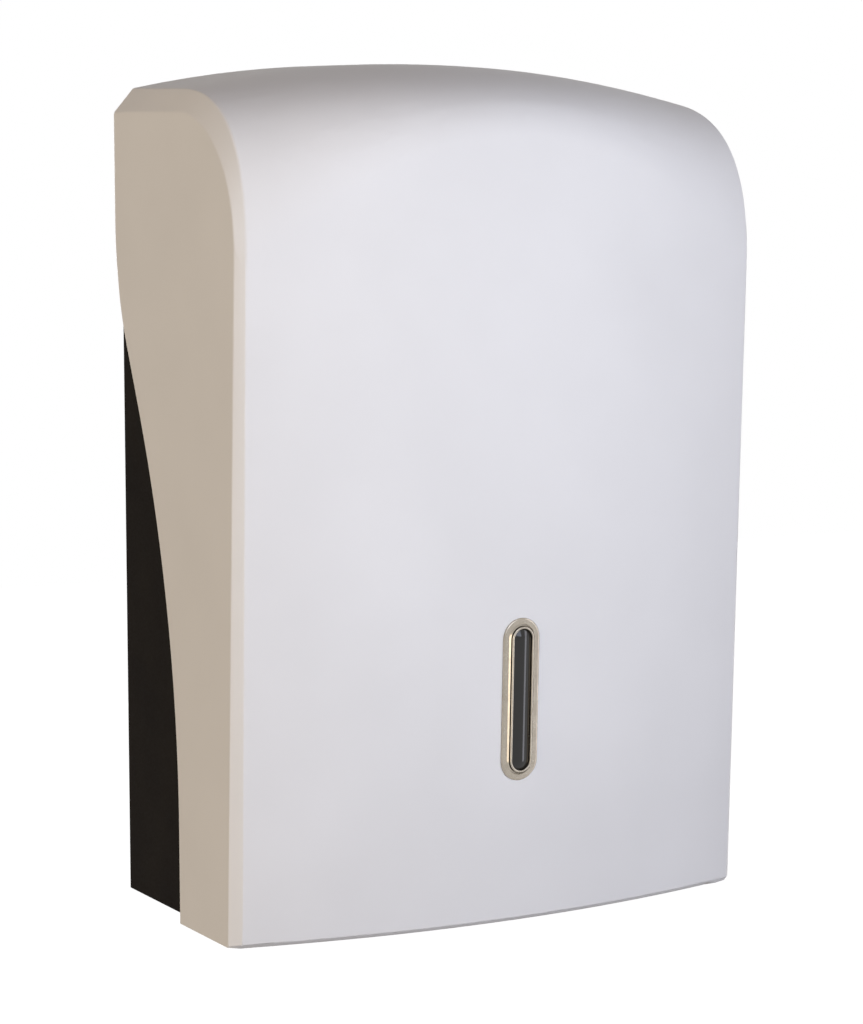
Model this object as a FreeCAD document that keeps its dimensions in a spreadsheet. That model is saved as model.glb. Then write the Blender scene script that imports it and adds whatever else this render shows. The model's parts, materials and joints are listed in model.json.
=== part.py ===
import FreeCAD, Part
import Sketcher
import math
import os

# Wall dispenser for folded paper hand towels.
# Every piece is drawn with the lower edge of the cover at height 0, the wall at Y = 0 and the room
# towards -Y. Each piece's Placement then lowers it, so that the origin of the finished part is the
# centre of the four wall holes on the back face.

SIZES = [
    # cover: overall form
    ("cover_width", 288), ("roof_edge", 406), ("strip_rise", 11), ("crown_rise", 16.3),
    ("front_depth", 129.7), ("front_bow", 17.4), ("strip_setback", 5.7),
    ("roof_fall", 2.5), ("front_lean", 2.13), ("side_fall", 2.2), ("side_radius", 63),
    ("roof_blend", 78.3), ("roof_blend_gain", 39.1), ("front_blend", 82.8),
    ("front_blend_loss", 45.3), ("blend_tightness", 0.69),
    ("strip_front", 4.5), ("strip_rear", 10.5), ("cover_wall", 2.5), ("lip_chamfer", 1.2),
    # curved rear edge of the cover's sides
    ("swoop_drop", 64.5), ("swoop_bottom", 46.5), ("rear_setback", 69.4),
    ("swoop_upper_radius", 154), ("swoop_straight", 32.6), ("wing_straight", 75.9),
    # chassis
    ("cover_gap", 1.15), ("chassis_wall", 2.5), ("chassis_bottom", 3), ("rim_depth", 30),
    ("wing_overlap", 26), ("fixing_side_margin", 44), ("fixing_top_margin", 66),
    ("fixing_low", 90), ("fixing_hole", 6), ("fixing_boss_radius", 9),
    ("fixing_boss_depth", 3), ("glide_depth", 3), ("glide_width", 2), ("glide_pitch", 37.5),
    ("glide_low", 46), ("glide_top_margin", 29), ("roof_rib_side", 45), ("roof_rib_length", 40),
    ("roof_rib_drop", 8), ("roof_rib_wall", 2),
    # hinge
    ("hinge_setback", 13), ("hinge_height", 14), ("pin_diameter", 5), ("pin_fit", 0.06),
    ("press_gap", 0.02), ("eye_radius", 8), ("hinge_boss_wall", 4), ("arm_thickness", 5),
    ("arm_side_gap", 0.5),
    ("arm_foot_margin", 12.7), ("arm_foot_width", 27), ("arm_foot_height", 34),
    ("hinge_boss", 1.5), ("pin_head_radius", 4.5), ("pin_head", 1.7),
    # magazine floor
    ("tray_side_gap", 10.35), ("tray_level", 6), ("tray_wall", 2.5), ("tray_front_margin", 21.7),
    ("tray_front_gap", 6), ("tray_lip_height", 34), ("tray_side_height", 36),
    ("nose_step", 25.5), ("throat_side_margin", 10), ("throat_front_margin", 22),
    ("throat_rear", 28), ("mouth_side_taper", 12), ("mouth_taper", 16),
    ("throat_rim", 6), ("throat_flange", 2), ("throat_drop", 5.5), ("throat_gap", 0.3),
    ("throat_corner", 8), ("mouth_margin", 4), ("mouth_corner", 6),
    # towel guides
    ("guide_inset", 1.5), ("guide_wall", 2), ("guide_low", 47), ("guide_high", 300),
    ("guide_lip", 10), ("guide_flange", 11), ("guide_flange_wall", 2.5),
    ("guide_window_margin", 18), ("guide_window_pitch", 116), ("guide_window_height", 98),
    ("guide_window_corner", 5),
    # level window
    ("window_height", 110.5), ("window_reach", 29.8), ("slot_radius", 3.9), ("ring_radius", 5.8),
    ("flange_radius", 10.2), ("flange_rise", 1.5), ("ring_rise", 2.6), ("stem_radius", 7.2),
    ("stem_length", 5.4), ("stem_gap", 0.2), ("lens_lip_radius", 5.3), ("lens_lip", 1.6),
    ("lens_recess", 0.9), ("lens_seat", 1), ("ring_chamfer", 0.6), ("retainer_wall", 1.4),
    # lock
    ("lock_depth", 19), ("lock_sink", 0.5), ("lock_flange_radius", 10), ("lock_flange", 2),
    ("lock_radius", 8), ("lock_length", 13), ("lock_boss_radius", 13), ("lock_boss_height", 5),
    ("plug_radius", 5.5), ("plug_head_radius", 7), ("plug_head", 2),
    ("plug_sink", 0.4), ("plug_fit", 0.05), ("tang_half", 3.5),
    ("cam_thickness", 2), ("cam_reach", 12.5), ("cam_half", 5), ("cam_hook", 2.5),
    ("cam_hook_half", 4), ("cam_drop", 8), ("key_slot", 1.6), ("key_depth", 7),
    ("cam_screw_head_radius", 5.2),
    ("nut_across", 22), ("nut_thickness", 3), ("keeper_gap", 1.5), ("keeper_wall", 2),
    ("cam_gap", 0.3), ("shelf_gap", 2.5), ("crest_gap", 0.7),
    ("keeper_left", 12), ("keeper_right", 3.5), ("keeper_half", 25), ("keeper_base", 18),
    ("lock_notch_half", 20),
    # screws
    ("screw_radius", 1.75), ("screw_head_radius", 3.4), ("screw_head", 2.2), ("screw_length", 9),
    ("screw_boss_radius", 4.5), ("screw_gap", 0.15), ("pilot_radius", 1.8), ("post_height", 4),
    ("seat_gap", 0.3), ("tray_screw_out", 5), ("tray_screw_rear", 14),
    ("tray_screw_spacing", 46), ("lug_thickness", 3), ("lug_half", 6.5),
    ("guide_screw_out", 5.5), ("guide_screw_low", 100), ("guide_screw_spacing", 160),
    ("keeper_screw_side", 18), ("keeper_screw_drop", 12.2), ("arm_screw_low", 13),
    ("arm_screw_spacing", 20), ("arm_foot_wall", 3), ("arm_foot_corner", 3),
]

doc = FreeCAD.newDocument("TowelDispenser")
size = doc.addObject("Spreadsheet::Sheet", "Size")
for row, (word, amount) in enumerate(SIZES, start=1):
    size.set("A%d" % row, word)
    size.set("B%d" % row, str(amount))
    size.setAlias("B%d" % row, word)
doc.recompute()

# Places and sizes that follow from the driving dimensions.
fit = doc.addObject("App::VarSet", "Fit")
probe = doc.addObject("App::VarSet", "Probe")
probe.addProperty("App::PropertyFloat", "Amount", "Worked")


def derive(word, formula):
    fit.addProperty("App::PropertyFloat", word, "Worked")
    fit.setExpression(word, formula)
    fit.recompute()


def number(formula):
    """Present value of a formula, as the document itself works it out."""
    probe.setExpression("Amount", formula)
    probe.recompute()
    return probe.Amount


derive("half", "Size.cover_width / 2")
derive("front_half", "Fit.half - Size.strip_front")
derive("lean", "tan(Size.front_lean)")
derive("fall", "tan(Size.roof_fall)")
derive("side_top", "Size.roof_edge - Size.strip_rise")
derive("side_depth", "Size.front_depth - Size.strip_setback")
derive("swoop_top", "Size.roof_edge - Size.swoop_drop")
derive("fixing_spacing_wide", "2 * (Fit.half - Size.fixing_side_margin)")
derive("fixing_spacing_high", "Size.roof_edge - Size.fixing_top_margin - Size.fixing_low")
derive("fixing_height", "Size.fixing_low + Fit.fixing_spacing_high / 2")
derive("glide_high", "Fit.side_top - Size.glide_top_margin")
derive("strip_angle", "atan((Size.strip_rear - Size.strip_front) / Size.front_depth)")
derive("apex", "Size.roof_edge + Size.crown_rise")
derive("corner_share", "1 - ((Fit.half - Size.strip_rear) / Fit.front_half)^2")
derive("corner_rise", "Size.crown_rise * Fit.corner_share")
derive("corner_fall", "atan(Fit.fall + Fit.corner_rise / (Size.front_depth + Fit.lean * Size.roof_edge))")
derive("miter", "Size.cover_wall * tan(22.5)")
derive("wing_half", "Fit.half - Size.cover_wall - Size.cover_gap")
derive("wing_inner", "Fit.wing_half - Size.chassis_wall")
derive("tray_half", "Fit.wing_inner - Size.tray_side_gap")
derive("tray_depth", "Size.front_depth - Size.tray_front_margin")
derive("nose_half", "Fit.tray_half - Size.nose_step")
derive("throat_half", "Fit.nose_half - Size.throat_side_margin")
derive("throat_front", "Fit.tray_depth - Size.throat_front_margin")
derive("mouth_half", "Fit.throat_half - Size.mouth_side_taper")
derive("mouth_front", "Fit.throat_front - Size.mouth_taper")
derive("mouth_rear", "Size.throat_rear + Size.mouth_taper")
derive("guide_half", "Fit.tray_half - Size.guide_inset")
derive("tray_screw_side", "Fit.tray_half + Size.tray_screw_out")
derive("guide_screw_side", "Fit.guide_half + Size.guide_screw_out")
derive("arm_foot_depth", "Size.front_depth - Size.arm_foot_margin")
derive("lock_top", "Fit.apex - Fit.fall * Size.lock_depth - Size.lock_sink")
derive("pin_depth", "Size.rear_setback + Size.hinge_setback")
derive("arm_outer", "Fit.wing_inner - Size.hinge_boss - Size.arm_side_gap")
derive("arm_inner", "Fit.arm_outer - Size.arm_thickness")
derive("floor_top", "Size.tray_level + Size.tray_wall")
derive("nose_share", "1 - (Fit.nose_half / Fit.front_half)^2")
derive("nose_depth", "Size.front_depth + Size.front_bow * Fit.nose_share - Size.cover_wall"
       " - Size.tray_front_gap")
derive("nose_bow", "Size.front_bow * (1 - Fit.nose_share)")
derive("nose_radius", "(Fit.nose_half^2 + Fit.nose_bow^2) / (2 * Fit.nose_bow)")
derive("lock_seat", "Fit.lock_top - Size.lock_flange")
derive("lock_boss_bottom", "Fit.lock_seat - Size.lock_boss_height")
derive("tang_top", "Fit.lock_seat - Size.lock_length")
derive("cam_top", "Fit.tang_top - Size.cam_gap")
derive("cam_bottom", "Fit.cam_top - Size.cam_thickness")
derive("keeper_back", "Size.lock_depth - Size.cam_reach + Size.cam_hook + Size.keeper_gap")
derive("keeper_shelf", "Fit.cam_bottom - Size.cam_drop - Size.shelf_gap")
derive("keeper_crest", "Fit.cam_bottom - Size.crest_gap")
derive("keeper_screw_height", "Fit.keeper_shelf - Size.keeper_screw_drop")
derive("roof_rib_crest", "Size.roof_edge + Size.crown_rise"
       " * (1 - (Size.roof_rib_side / Fit.front_half)^2) - Size.cover_wall / 2")
derive("post_face", "Size.chassis_wall + Size.post_height")
derive("flange_face", "Fit.post_face + Size.guide_flange_wall")
derive("tray_rear", "Size.chassis_wall + Size.seat_gap")
derive("arm_low", "Size.hinge_height - Size.eye_radius")
derive("arm_screw", "Fit.arm_outer - Size.arm_foot_width + Size.screw_boss_radius + 1")
derive("arm_boss_share", "1 - (Fit.arm_screw / Fit.front_half)^2")
derive("foot_front", "Fit.arm_foot_depth + Size.arm_foot_wall")
derive("rim_drop", "Fit.fall * Size.rim_depth")
derive("rim_side", "Fit.side_top - Fit.miter - Size.cover_gap / 2 - Fit.rim_drop")
derive("rim_bevel_half", "Fit.half - Size.strip_rear - Fit.miter - Size.cover_gap / 2")
derive("rim_bevel_high", "Size.roof_edge + Fit.corner_rise - Size.cover_wall - Size.cover_gap"
       " - tan(Fit.corner_fall) * Size.rim_depth")
derive("rim_apex", "Fit.apex - Size.cover_wall - Size.cover_gap - Fit.rim_drop")
derive("rim_bow", "Fit.rim_apex - Fit.rim_bevel_high")
derive("rim_radius", "(Fit.rim_bevel_half^2 + Fit.rim_bow^2) / (2 * Fit.rim_bow)")
derive("swoop_high", "Fit.swoop_top - Size.swoop_bottom")
for edge, rear, front, straight in (
        ("cover_edge", "0", "Size.rear_setback", "Size.swoop_straight"),
        ("wing_edge", "Size.rim_depth", "(Size.rear_setback + Size.wing_overlap)",
         "Size.wing_straight")):
    derive(edge + "_run", straight)
    derive(edge + "_out", "%s - %s" % (front, rear))
    derive(edge + "_radii", "(Fit.%s_out^2 + Fit.swoop_high^2 - Fit.%s_run^2) / (2 * Fit.%s_out)"
           % (edge, edge, edge))
    derive(edge + "_lower_radius", "Fit.%s_radii - Size.swoop_upper_radius" % edge)
    derive(edge + "_angle", "atan(Fit.swoop_high / (Fit.%s_radii - Fit.%s_out))"
           " - atan(Fit.%s_run / Fit.%s_radii)" % (edge, edge, edge, edge))


def vector(x=0.0, y=0.0, z=0.0):
    return FreeCAD.Vector(x, y, z)


def origin_plane(body, role):
    return next(item for item in body.Origin.OriginFeatures if item.Role == role)


def new_body(label, in_front=False, depth="0"):
    """A body at the common datum, at a depth in front of the wall.

    One that is in front lies in the leaning plane of the level window, with its middle as datum.
    """
    body = doc.addObject("PartDesign::Body", label)
    if in_front:
        body.Placement = FreeCAD.Placement(vector(), FreeCAD.Rotation(vector(1, 0, 0), 1))
        body.setExpression("Placement.Rotation.Angle", "Size.front_lean * 1 deg")
        body.setExpression("Placement.Base.y",
                           "-(Size.front_depth + Size.front_bow + Fit.lean * Size.window_height)")
        body.setExpression("Placement.Base.z", "Size.window_height - Fit.fixing_height")
    else:
        body.setExpression("Placement.Base.y", "-(%s)" % depth)
        body.setExpression("Placement.Base.z", "-Fit.fixing_height")
    return body


def new_sketch(body, name, role, level="0"):
    """A sketch parallel to one of the body's own planes, at a height along that plane's normal."""
    sketch = body.newObject("Sketcher::SketchObject", name)
    sketch.AttachmentSupport = [(origin_plane(body, role), "")]
    sketch.MapMode = "FlatFace"
    sketch.setExpression("AttachmentOffset.Base.z", level)
    return sketch


def bind(sketch, kind, formula, *where):
    """Adds a constraint whose value follows a formula."""
    amount = math.radians(number(formula)) if kind == "Angle" else number(formula)
    index = sketch.addConstraint(Sketcher.Constraint(kind, *where, amount))
    sketch.setExpression("Constraints[%d]" % index, formula)


def bind_point(sketch, geometry, end, x_formula, y_formula):
    bind(sketch, "DistanceX", x_formula, -1, 1, geometry, end)
    bind(sketch, "DistanceY", y_formula, -1, 1, geometry, end)


def arc_between(start, end, radius, side):
    """The short arc from start to end; side 1 has its centre to the left of the way, -1 right."""
    chord = end - start
    across = vector(-chord.y, chord.x).normalize()
    height = math.sqrt(max(radius ** 2 - (chord.Length / 2) ** 2, 0.0))
    centre = (start + end) * 0.5 + across * height * side
    circle = Part.Circle(centre, vector(0, 0, 1), radius)
    first, last = (start, end) if side > 0 else (end, start)
    return Part.ArcOfCircle(circle, circle.parameter(first), circle.parameter(last))


def outline(sketch, points, arcs=None):
    """A closed outline through points given as pairs of formulas.

    arcs maps the number of a stretch to its radius formula and side.
    """
    arcs = arcs or {}
    count = len(points)
    base = sketch.GeometryCount
    places = [vector(number(x), number(y)) for x, y in points]
    ends = []
    for index in range(count):
        start, end = places[index], places[(index + 1) % count]
        if index in arcs:
            radius, side = arcs[index]
            sketch.addGeometry(arc_between(start, end, number(radius), side), False)
            ends.append((1, 2) if side > 0 else (2, 1))
        else:
            sketch.addGeometry(Part.LineSegment(start, end), False)
            ends.append((1, 2))
    for index in range(count):
        follower = (index + 1) % count
        sketch.addConstraint(Sketcher.Constraint(
            "Coincident", base + index, ends[index][1], base + follower, ends[follower][0]))
    for index, (x_formula, y_formula) in enumerate(points):
        bind_point(sketch, base + index, ends[index][0], x_formula, y_formula)
    for index, (radius, side) in arcs.items():
        bind(sketch, "Radius", radius, base + index)
    return sketch


def box_outline(sketch, x_low, x_high, y_low, y_high):
    return outline(sketch, [(x_low, y_low), (x_high, y_low), (x_high, y_high), (x_low, y_high)])


def ring(sketch, x_formula, y_formula, radius_formula):
    base = sketch.GeometryCount
    centre = vector(number(x_formula), number(y_formula))
    sketch.addGeometry(Part.Circle(centre, vector(0, 0, 1), number(radius_formula)), False)
    bind_point(sketch, base, 3, x_formula, y_formula)
    bind(sketch, "Radius", radius_formula, base)
    return sketch


def oblong(sketch, reach_formula, radius_formula):
    """An upright slot about the sketch's origin: two half circles, reach apart from the origin."""
    base = sketch.GeometryCount
    reach, radius = number(reach_formula), number(radius_formula)
    for centre, start in ((reach, 0.0), (-reach, math.pi)):
        circle = Part.Circle(vector(0, centre), vector(0, 0, 1), radius)
        sketch.addGeometry(Part.ArcOfCircle(circle, start, start + math.pi), False)
    sketch.addGeometry(Part.LineSegment(vector(-radius, reach), vector(-radius, -reach)), False)
    sketch.addGeometry(Part.LineSegment(vector(radius, -reach), vector(radius, reach)), False)
    upper, lower, left, right = range(base, base + 4)
    for first, first_end, second, second_end in (
            (upper, 2, left, 1), (left, 2, lower, 1), (lower, 2, right, 1), (right, 2, upper, 1)):
        sketch.addConstraint(Sketcher.Constraint("Tangent", first, first_end, second, second_end))
    sketch.addConstraint(Sketcher.Constraint("Equal", upper, lower))
    bind_point(sketch, upper, 3, "0", reach_formula)
    bind_point(sketch, lower, 3, "0", "-(" + reach_formula + ")")
    bind(sketch, "Radius", radius_formula, upper)
    return sketch


def rounded_box(sketch, x_low, x_high, y_low, y_high, radius_formula):
    """A rectangle with four equal round corners, sides given by formulas."""
    base = sketch.GeometryCount
    x0, x1, y0, y1 = number(x_low), number(x_high), number(y_low), number(y_high)
    r = number(radius_formula)
    sides = [((x0 + r, y0), (x1 - r, y0)), ((x1, y0 + r), (x1, y1 - r)),
             ((x1 - r, y1), (x0 + r, y1)), ((x0, y1 - r), (x0, y0 + r))]
    centres = [(x1 - r, y0 + r), (x1 - r, y1 - r), (x0 + r, y1 - r), (x0 + r, y0 + r)]
    for index in range(4):
        start, end = sides[index]
        sketch.addGeometry(Part.LineSegment(vector(*start), vector(*end)), False)
        circle = Part.Circle(vector(*centres[index]), vector(0, 0, 1), r)
        turn = math.pi / 2 * (index - 1)
        sketch.addGeometry(Part.ArcOfCircle(circle, turn, turn + math.pi / 2), False)
    for index in range(4):
        line, arc, following = base + 2 * index, base + 2 * index + 1, base + (2 * index + 2) % 8
        sketch.addConstraint(Sketcher.Constraint("Tangent", line, 2, arc, 1))
        sketch.addConstraint(Sketcher.Constraint("Tangent", arc, 2, following, 1))
        sketch.addConstraint(Sketcher.Constraint("Vertical" if index % 2 else "Horizontal", line))
        if index:
            sketch.addConstraint(Sketcher.Constraint("Equal", base + 1, arc))
    bind(sketch, "DistanceY", y_low, -1, 1, base, 1)
    bind(sketch, "DistanceX", x_high, -1, 1, base + 2, 1)
    bind(sketch, "DistanceY", y_high, -1, 1, base + 4, 1)
    bind(sketch, "DistanceX", x_low, -1, 1, base + 6, 1)
    bind(sketch, "Radius", radius_formula, base + 1)
    return sketch


def volume_of(body):
    return body.Tip.Shape.Volume if body.Tip and not body.Tip.Shape.isNull() else 0.0


def pad(body, sketch, length, name, symmetric=False, reversed_way=False):
    feature = body.newObject("PartDesign::Pad", name)
    feature.Profile = (sketch, [""])
    feature.setExpression("Length", length)
    feature.Reversed = reversed_way
    if symmetric:
        feature.SideType = "Symmetric"
    doc.recompute()
    return feature


def pocket(body, sketch, name, length=None, reversed_way=False):
    """Cuts a sketch away, through everything both ways when it has no length."""
    before = volume_of(body)
    feature = body.newObject("PartDesign::Pocket", name)
    feature.Profile = (sketch, [""])
    if length is None:
        feature.Type = "ThroughAll"
        feature.SideType = "Symmetric"
    else:
        feature.setExpression("Length", length)
        feature.Reversed = reversed_way
    doc.recompute()
    if feature.Shape.Volume > before - 0.01:
        raise RuntimeError("pocket %s of %s cuts nothing" % (name, body.Label))
    return feature


def loft(body, sections, name, subtractive=False, ruled=False):
    kind = "PartDesign::SubtractiveLoft" if subtractive else "PartDesign::AdditiveLoft"
    feature = body.newObject(kind, name)
    feature.Profile = (sections[0], [""])
    feature.Sections = [(section, [""]) for section in sections[1:]]
    feature.Ruled = ruled
    doc.recompute()
    return feature


def revolve(body, sketch, name, axis="V_Axis"):
    feature = body.newObject("PartDesign::Revolution", name)
    feature.Profile = (sketch, [""])
    feature.ReferenceAxis = (sketch, [axis])
    feature.Angle = 360
    doc.recompute()
    return feature


def dress(body, kind, name, radius, test):
    """Fillet or Chamfer on the edges of the body's tip that pass a test."""
    tip = body.Tip
    chosen = ["Edge%d" % number_of for number_of, edge in enumerate(tip.Shape.Edges, start=1)
              if test(edge)]
    if not chosen:
        raise RuntimeError("no edges for %s of %s" % (name, body.Label))
    feature = body.newObject("PartDesign::" + kind, name)
    feature.Base = (tip, chosen)
    feature.setExpression("Radius" if kind == "Fillet" else "Size", radius)
    doc.recompute()
    return feature


def mirror_x(body, features, name):
    """Repeats features on the other side of the middle plane."""
    feature = body.newObject("PartDesign::Mirrored", name)
    feature.Originals = features
    feature.MirrorPlane = (origin_plane(body, "YZ_Plane"), [""])
    body.Tip = feature
    doc.recompute()
    return feature


# ---------------------------------------------------------------- cover

def straight_stretches(top, fall, depth, back, low):
    """Start of the roof, foot of the front, and where the two stretches would meet, as points."""
    slope, lean = math.tan(math.radians(number(fall))), number("Fit.lean")
    high, deep = number(top), number(depth)
    meet_y = -(deep + lean * high) / (1 + lean * slope)
    meet = vector(meet_y, high + slope * meet_y)
    start = vector(number(back), high + slope * number(back))
    foot = vector(-deep - lean * number(low), number(low))
    return start, foot, meet


def side_frame(sketch, stretches, joint, formulas):
    """Wall line, roof line, joint curve, front line, bevelled lip and foot line of an outline."""
    start, foot, roof_end, front_start = stretches
    top, fall, depth, back, low, lip = formulas
    heel = vector(number(back), number(low))
    bevel = foot + vector(number(lip), 0)
    sketch.addGeometry(Part.LineSegment(heel, start), False)
    sketch.addGeometry(Part.LineSegment(start, roof_end), False)
    sketch.addGeometry(joint, False)
    sketch.addGeometry(Part.LineSegment(front_start, foot + vector(0, number(lip))), False)
    sketch.addGeometry(Part.LineSegment(foot + vector(0, number(lip)), bevel), False)
    sketch.addGeometry(Part.LineSegment(bevel, heel), False)
    for first, second in ((0, 1), (3, 4), (4, 5), (5, 0)):
        sketch.addConstraint(Sketcher.Constraint("Coincident", first, 2, second, 1))
    sketch.addConstraint(Sketcher.Constraint("Vertical", 0))
    sketch.addConstraint(Sketcher.Constraint("Horizontal", 5))
    bind_point(sketch, 0, 1, back, low)
    bind(sketch, "DistanceY", "%s + tan(%s) * (%s)" % (top, fall, back), -1, 1, 0, 2)
    bind_point(sketch, 3, 2, "-(%s) - Fit.lean * (%s + %s)" % (depth, low, lip), "%s + %s" % (low, lip))
    bind(sketch, "DistanceX", "%s - (%s) - Fit.lean * (%s)" % (lip, depth, low), -1, 1, 5, 1)
    bind(sketch, "Angle", "(180 + %s) * 1 deg" % fall, 1)
    bind(sketch, "Angle", "(Size.front_lean - 90) * 1 deg", 3)


def front_section(body, name, share, wall, miter, back):
    """Side outline of the bowed front and crowned roof at a share of its half width.

    Share 1 or -1 is the corner line, whose plane turns in towards the wall so that the bevelled
    strip beside it widens. wall moves the outline inwards, miter moves the corner line sideways,
    and back runs the outline past the wall and the foot.
    """
    swell = "(1 - %g^2)" % share
    side = 1 if share > 0 else -1
    sketch = new_sketch(body, name, "YZ_Plane", "%g * Fit.front_half" % share)
    top = "Size.roof_edge + Size.crown_rise * %s - %s" % (swell, wall)
    fall = "Size.roof_fall"
    if abs(share) == 1:
        turned = FreeCAD.Rotation(vector(0, side, 0), 1)
        sketch.AttachmentOffset = FreeCAD.Placement(vector(), turned)
        sketch.setExpression("AttachmentOffset.Rotation.Angle", "Fit.strip_angle * 1 deg")
        sketch.setExpression("AttachmentOffset.Base.z",
                             "%d * (Fit.half - Size.strip_rear - %s)" % (side, miter))
        top = "Size.roof_edge + Fit.corner_rise - %s" % wall
        fall = "Fit.corner_fall"
    depth = "Size.front_depth + Size.front_bow * %s - %s" % (swell, wall)
    reach = "Size.roof_blend + Size.roof_blend_gain * %s - %s" % (swell, wall)
    drop = "Size.front_blend - Size.front_blend_loss * %s - %s" % (swell, wall)
    low = "-" + back

    start, foot, meet = straight_stretches(top, fall, depth, back, low)
    roof_end = meet - (meet - start).normalize() * number(reach)
    front_start = meet + (foot - meet).normalize() * number(drop)
    tight = number("Size.blend_tightness")
    poles = [roof_end, roof_end + (meet - roof_end) * tight,
             front_start + (meet - front_start) * tight, front_start]
    blend = Part.BSplineCurve(poles, None, None, False, 3, None, False)
    side_frame(sketch, (start, foot, roof_end, front_start), blend,
               (top, fall, depth, back, low, "Size.lip_chamfer"))

    roof_line, blend_line, front_line, to_roof, to_front, first_pole = 1, 2, 3, 6, 7, 8
    sketch.addGeometry(Part.LineSegment(roof_end, meet), True)
    sketch.addGeometry(Part.LineSegment(front_start, meet), True)
    for index, pole in enumerate(poles):
        circle = first_pole + index
        sketch.addGeometry(Part.Circle(pole, vector(0, 0, 1), 1), True)
        sketch.addConstraint(Sketcher.Constraint(
            "InternalAlignment:Sketcher::BSplineControlPoint", circle, 3, blend_line, index))
        sketch.addConstraint(Sketcher.Constraint("Weight", circle, 1.0))
    for first, first_end, second, second_end in (
            (roof_line, 2, blend_line, 1), (blend_line, 2, front_line, 1),
            (to_roof, 1, roof_line, 2), (to_front, 1, front_line, 1), (to_roof, 2, to_front, 2)):
        sketch.addConstraint(Sketcher.Constraint("Coincident", first, first_end, second, second_end))
    sketch.addConstraint(Sketcher.Constraint("Parallel", roof_line, to_roof))
    sketch.addConstraint(Sketcher.Constraint("Parallel", front_line, to_front))
    sketch.addConstraint(Sketcher.Constraint("PointOnObject", first_pole + 1, 3, to_roof))
    sketch.addConstraint(Sketcher.Constraint("PointOnObject", first_pole + 2, 3, to_front))
    bind(sketch, "Distance", reach, to_roof)
    bind(sketch, "Distance", drop, to_front)
    bind(sketch, "Distance", "(%s) * Size.blend_tightness" % reach, roof_line, 2, first_pole + 1, 3)
    bind(sketch, "Distance", "(%s) * Size.blend_tightness" % drop, front_line, 1, first_pole + 2, 3)
    return sketch


def side_section(body, name, side, wall, miter, back):
    """Outline of the flat side face: roof line, round shoulder and front line."""
    sketch = new_sketch(body, name, "YZ_Plane", "%d * (Fit.half - %s)" % (side, wall))
    top, depth = "Fit.side_top - %s" % miter, "Fit.side_depth - %s" % miter
    fall, low = "Size.side_fall", "-" + back
    radius = number("Size.side_radius - %s" % miter)
    start, foot, meet = straight_stretches(top, fall, depth, back, low)
    to_start, to_foot = (start - meet).normalize(), (foot - meet).normalize()
    half_angle = to_start.getAngle(to_foot) / 2
    tangent = radius / math.tan(half_angle)
    roof_end, front_start = meet + to_start * tangent, meet + to_foot * tangent
    joint = arc_between(roof_end, front_start, radius, 1)
    side_frame(sketch, (start, foot, roof_end, front_start), joint,
               (top, fall, depth, back, low, "Size.lip_chamfer"))
    sketch.addConstraint(Sketcher.Constraint("Tangent", 1, 2, 2, 1))
    sketch.addConstraint(Sketcher.Constraint("Tangent", 2, 2, 3, 1))
    bind(sketch, "Radius", "Size.side_radius - %s" % miter, 2)
    return sketch


def cover_form(body, prefix, subtractive, wall, miter, back):
    """The crowned and bowed middle and the two bevelled strips, added or cut away."""
    shares = (-1, -0.5, 0, 0.5, 1)
    sections = [front_section(body, "%s_section_%d" % (prefix, index), share, wall, miter, back)
                for index, share in enumerate(shares)]
    loft(body, sections, prefix + "_middle", subtractive)
    for side, corner in ((-1, sections[0]), (1, sections[-1])):
        word = "left" if side < 0 else "right"
        flat = side_section(body, "%s_side_%s" % (prefix, word), side, wall, miter, back)
        loft(body, [corner, flat], "%s_strip_%s" % (prefix, word), subtractive, ruled=True)


def swoop(rear, front, word):
    """Points and arcs of an edge that runs down the wall side and swings out to the front.

    It starts level with swoop_top at the rear depth and is upright again at swoop_bottom.
    """
    angle, run = "Fit.%s_angle" % word, "Fit.%s_run" % word
    upper_out = "(%s) + Size.swoop_upper_radius * (1 - cos(%s))" % (rear, angle)
    upper_down = "Fit.swoop_top - Size.swoop_upper_radius * sin(%s)" % angle
    return [
        ("-(%s)" % rear, "Fit.swoop_top"),
        ("-(%s)" % upper_out, upper_down),
        ("-(%s + %s * sin(%s))" % (upper_out, run, angle), "%s - %s * cos(%s)" % (upper_down, run, angle)),
        ("-(%s)" % front, "Size.swoop_bottom"),
    ]


cover = new_body("front_cover")
cover_form(cover, "outer", False, "0", "0", "0")
cover_form(cover, "inner", True, "Size.cover_wall", "Fit.miter", "4")
edge_points = swoop("0", "Size.rear_setback", "cover_edge")
behind_edge = outline(new_sketch(cover, "behind_edge", "YZ_Plane"),
                      [("8", "Fit.swoop_top")] + edge_points + [("-Size.rear_setback", "-8"), ("8", "-8")],
                      {1: ("Size.swoop_upper_radius", -1), 3: ("Fit.cover_edge_lower_radius", 1)})
pocket(cover, behind_edge, "rear_edge")

# bosses that the hinge arms are screwed to, from the arm's foot into the front wall
for side in (-1, 1):
    word = "left" if side < 0 else "right"
    bosses = new_sketch(cover, "arm_bosses_" + word, "XZ_Plane", "Fit.foot_front")
    pilots = new_sketch(cover, "arm_pilots_" + word, "XZ_Plane", "Fit.foot_front")
    for row in (0, 1):
        place = ("%d * Fit.arm_screw" % side, "Size.arm_screw_low + %d * Size.arm_screw_spacing" % row)
        ring(bosses, *place, "Size.screw_boss_radius")
        ring(pilots, *place, "Size.pilot_radius")
    pad(cover, bosses, "Size.front_depth + Size.front_bow * Fit.arm_boss_share"
        " - Size.cover_wall / 2 - Fit.foot_front", "arm_boss_pad_" + word)
    pocket(cover, pilots, "arm_pilot_" + word, "Size.screw_length - Size.arm_foot_wall + 1", True)

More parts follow.
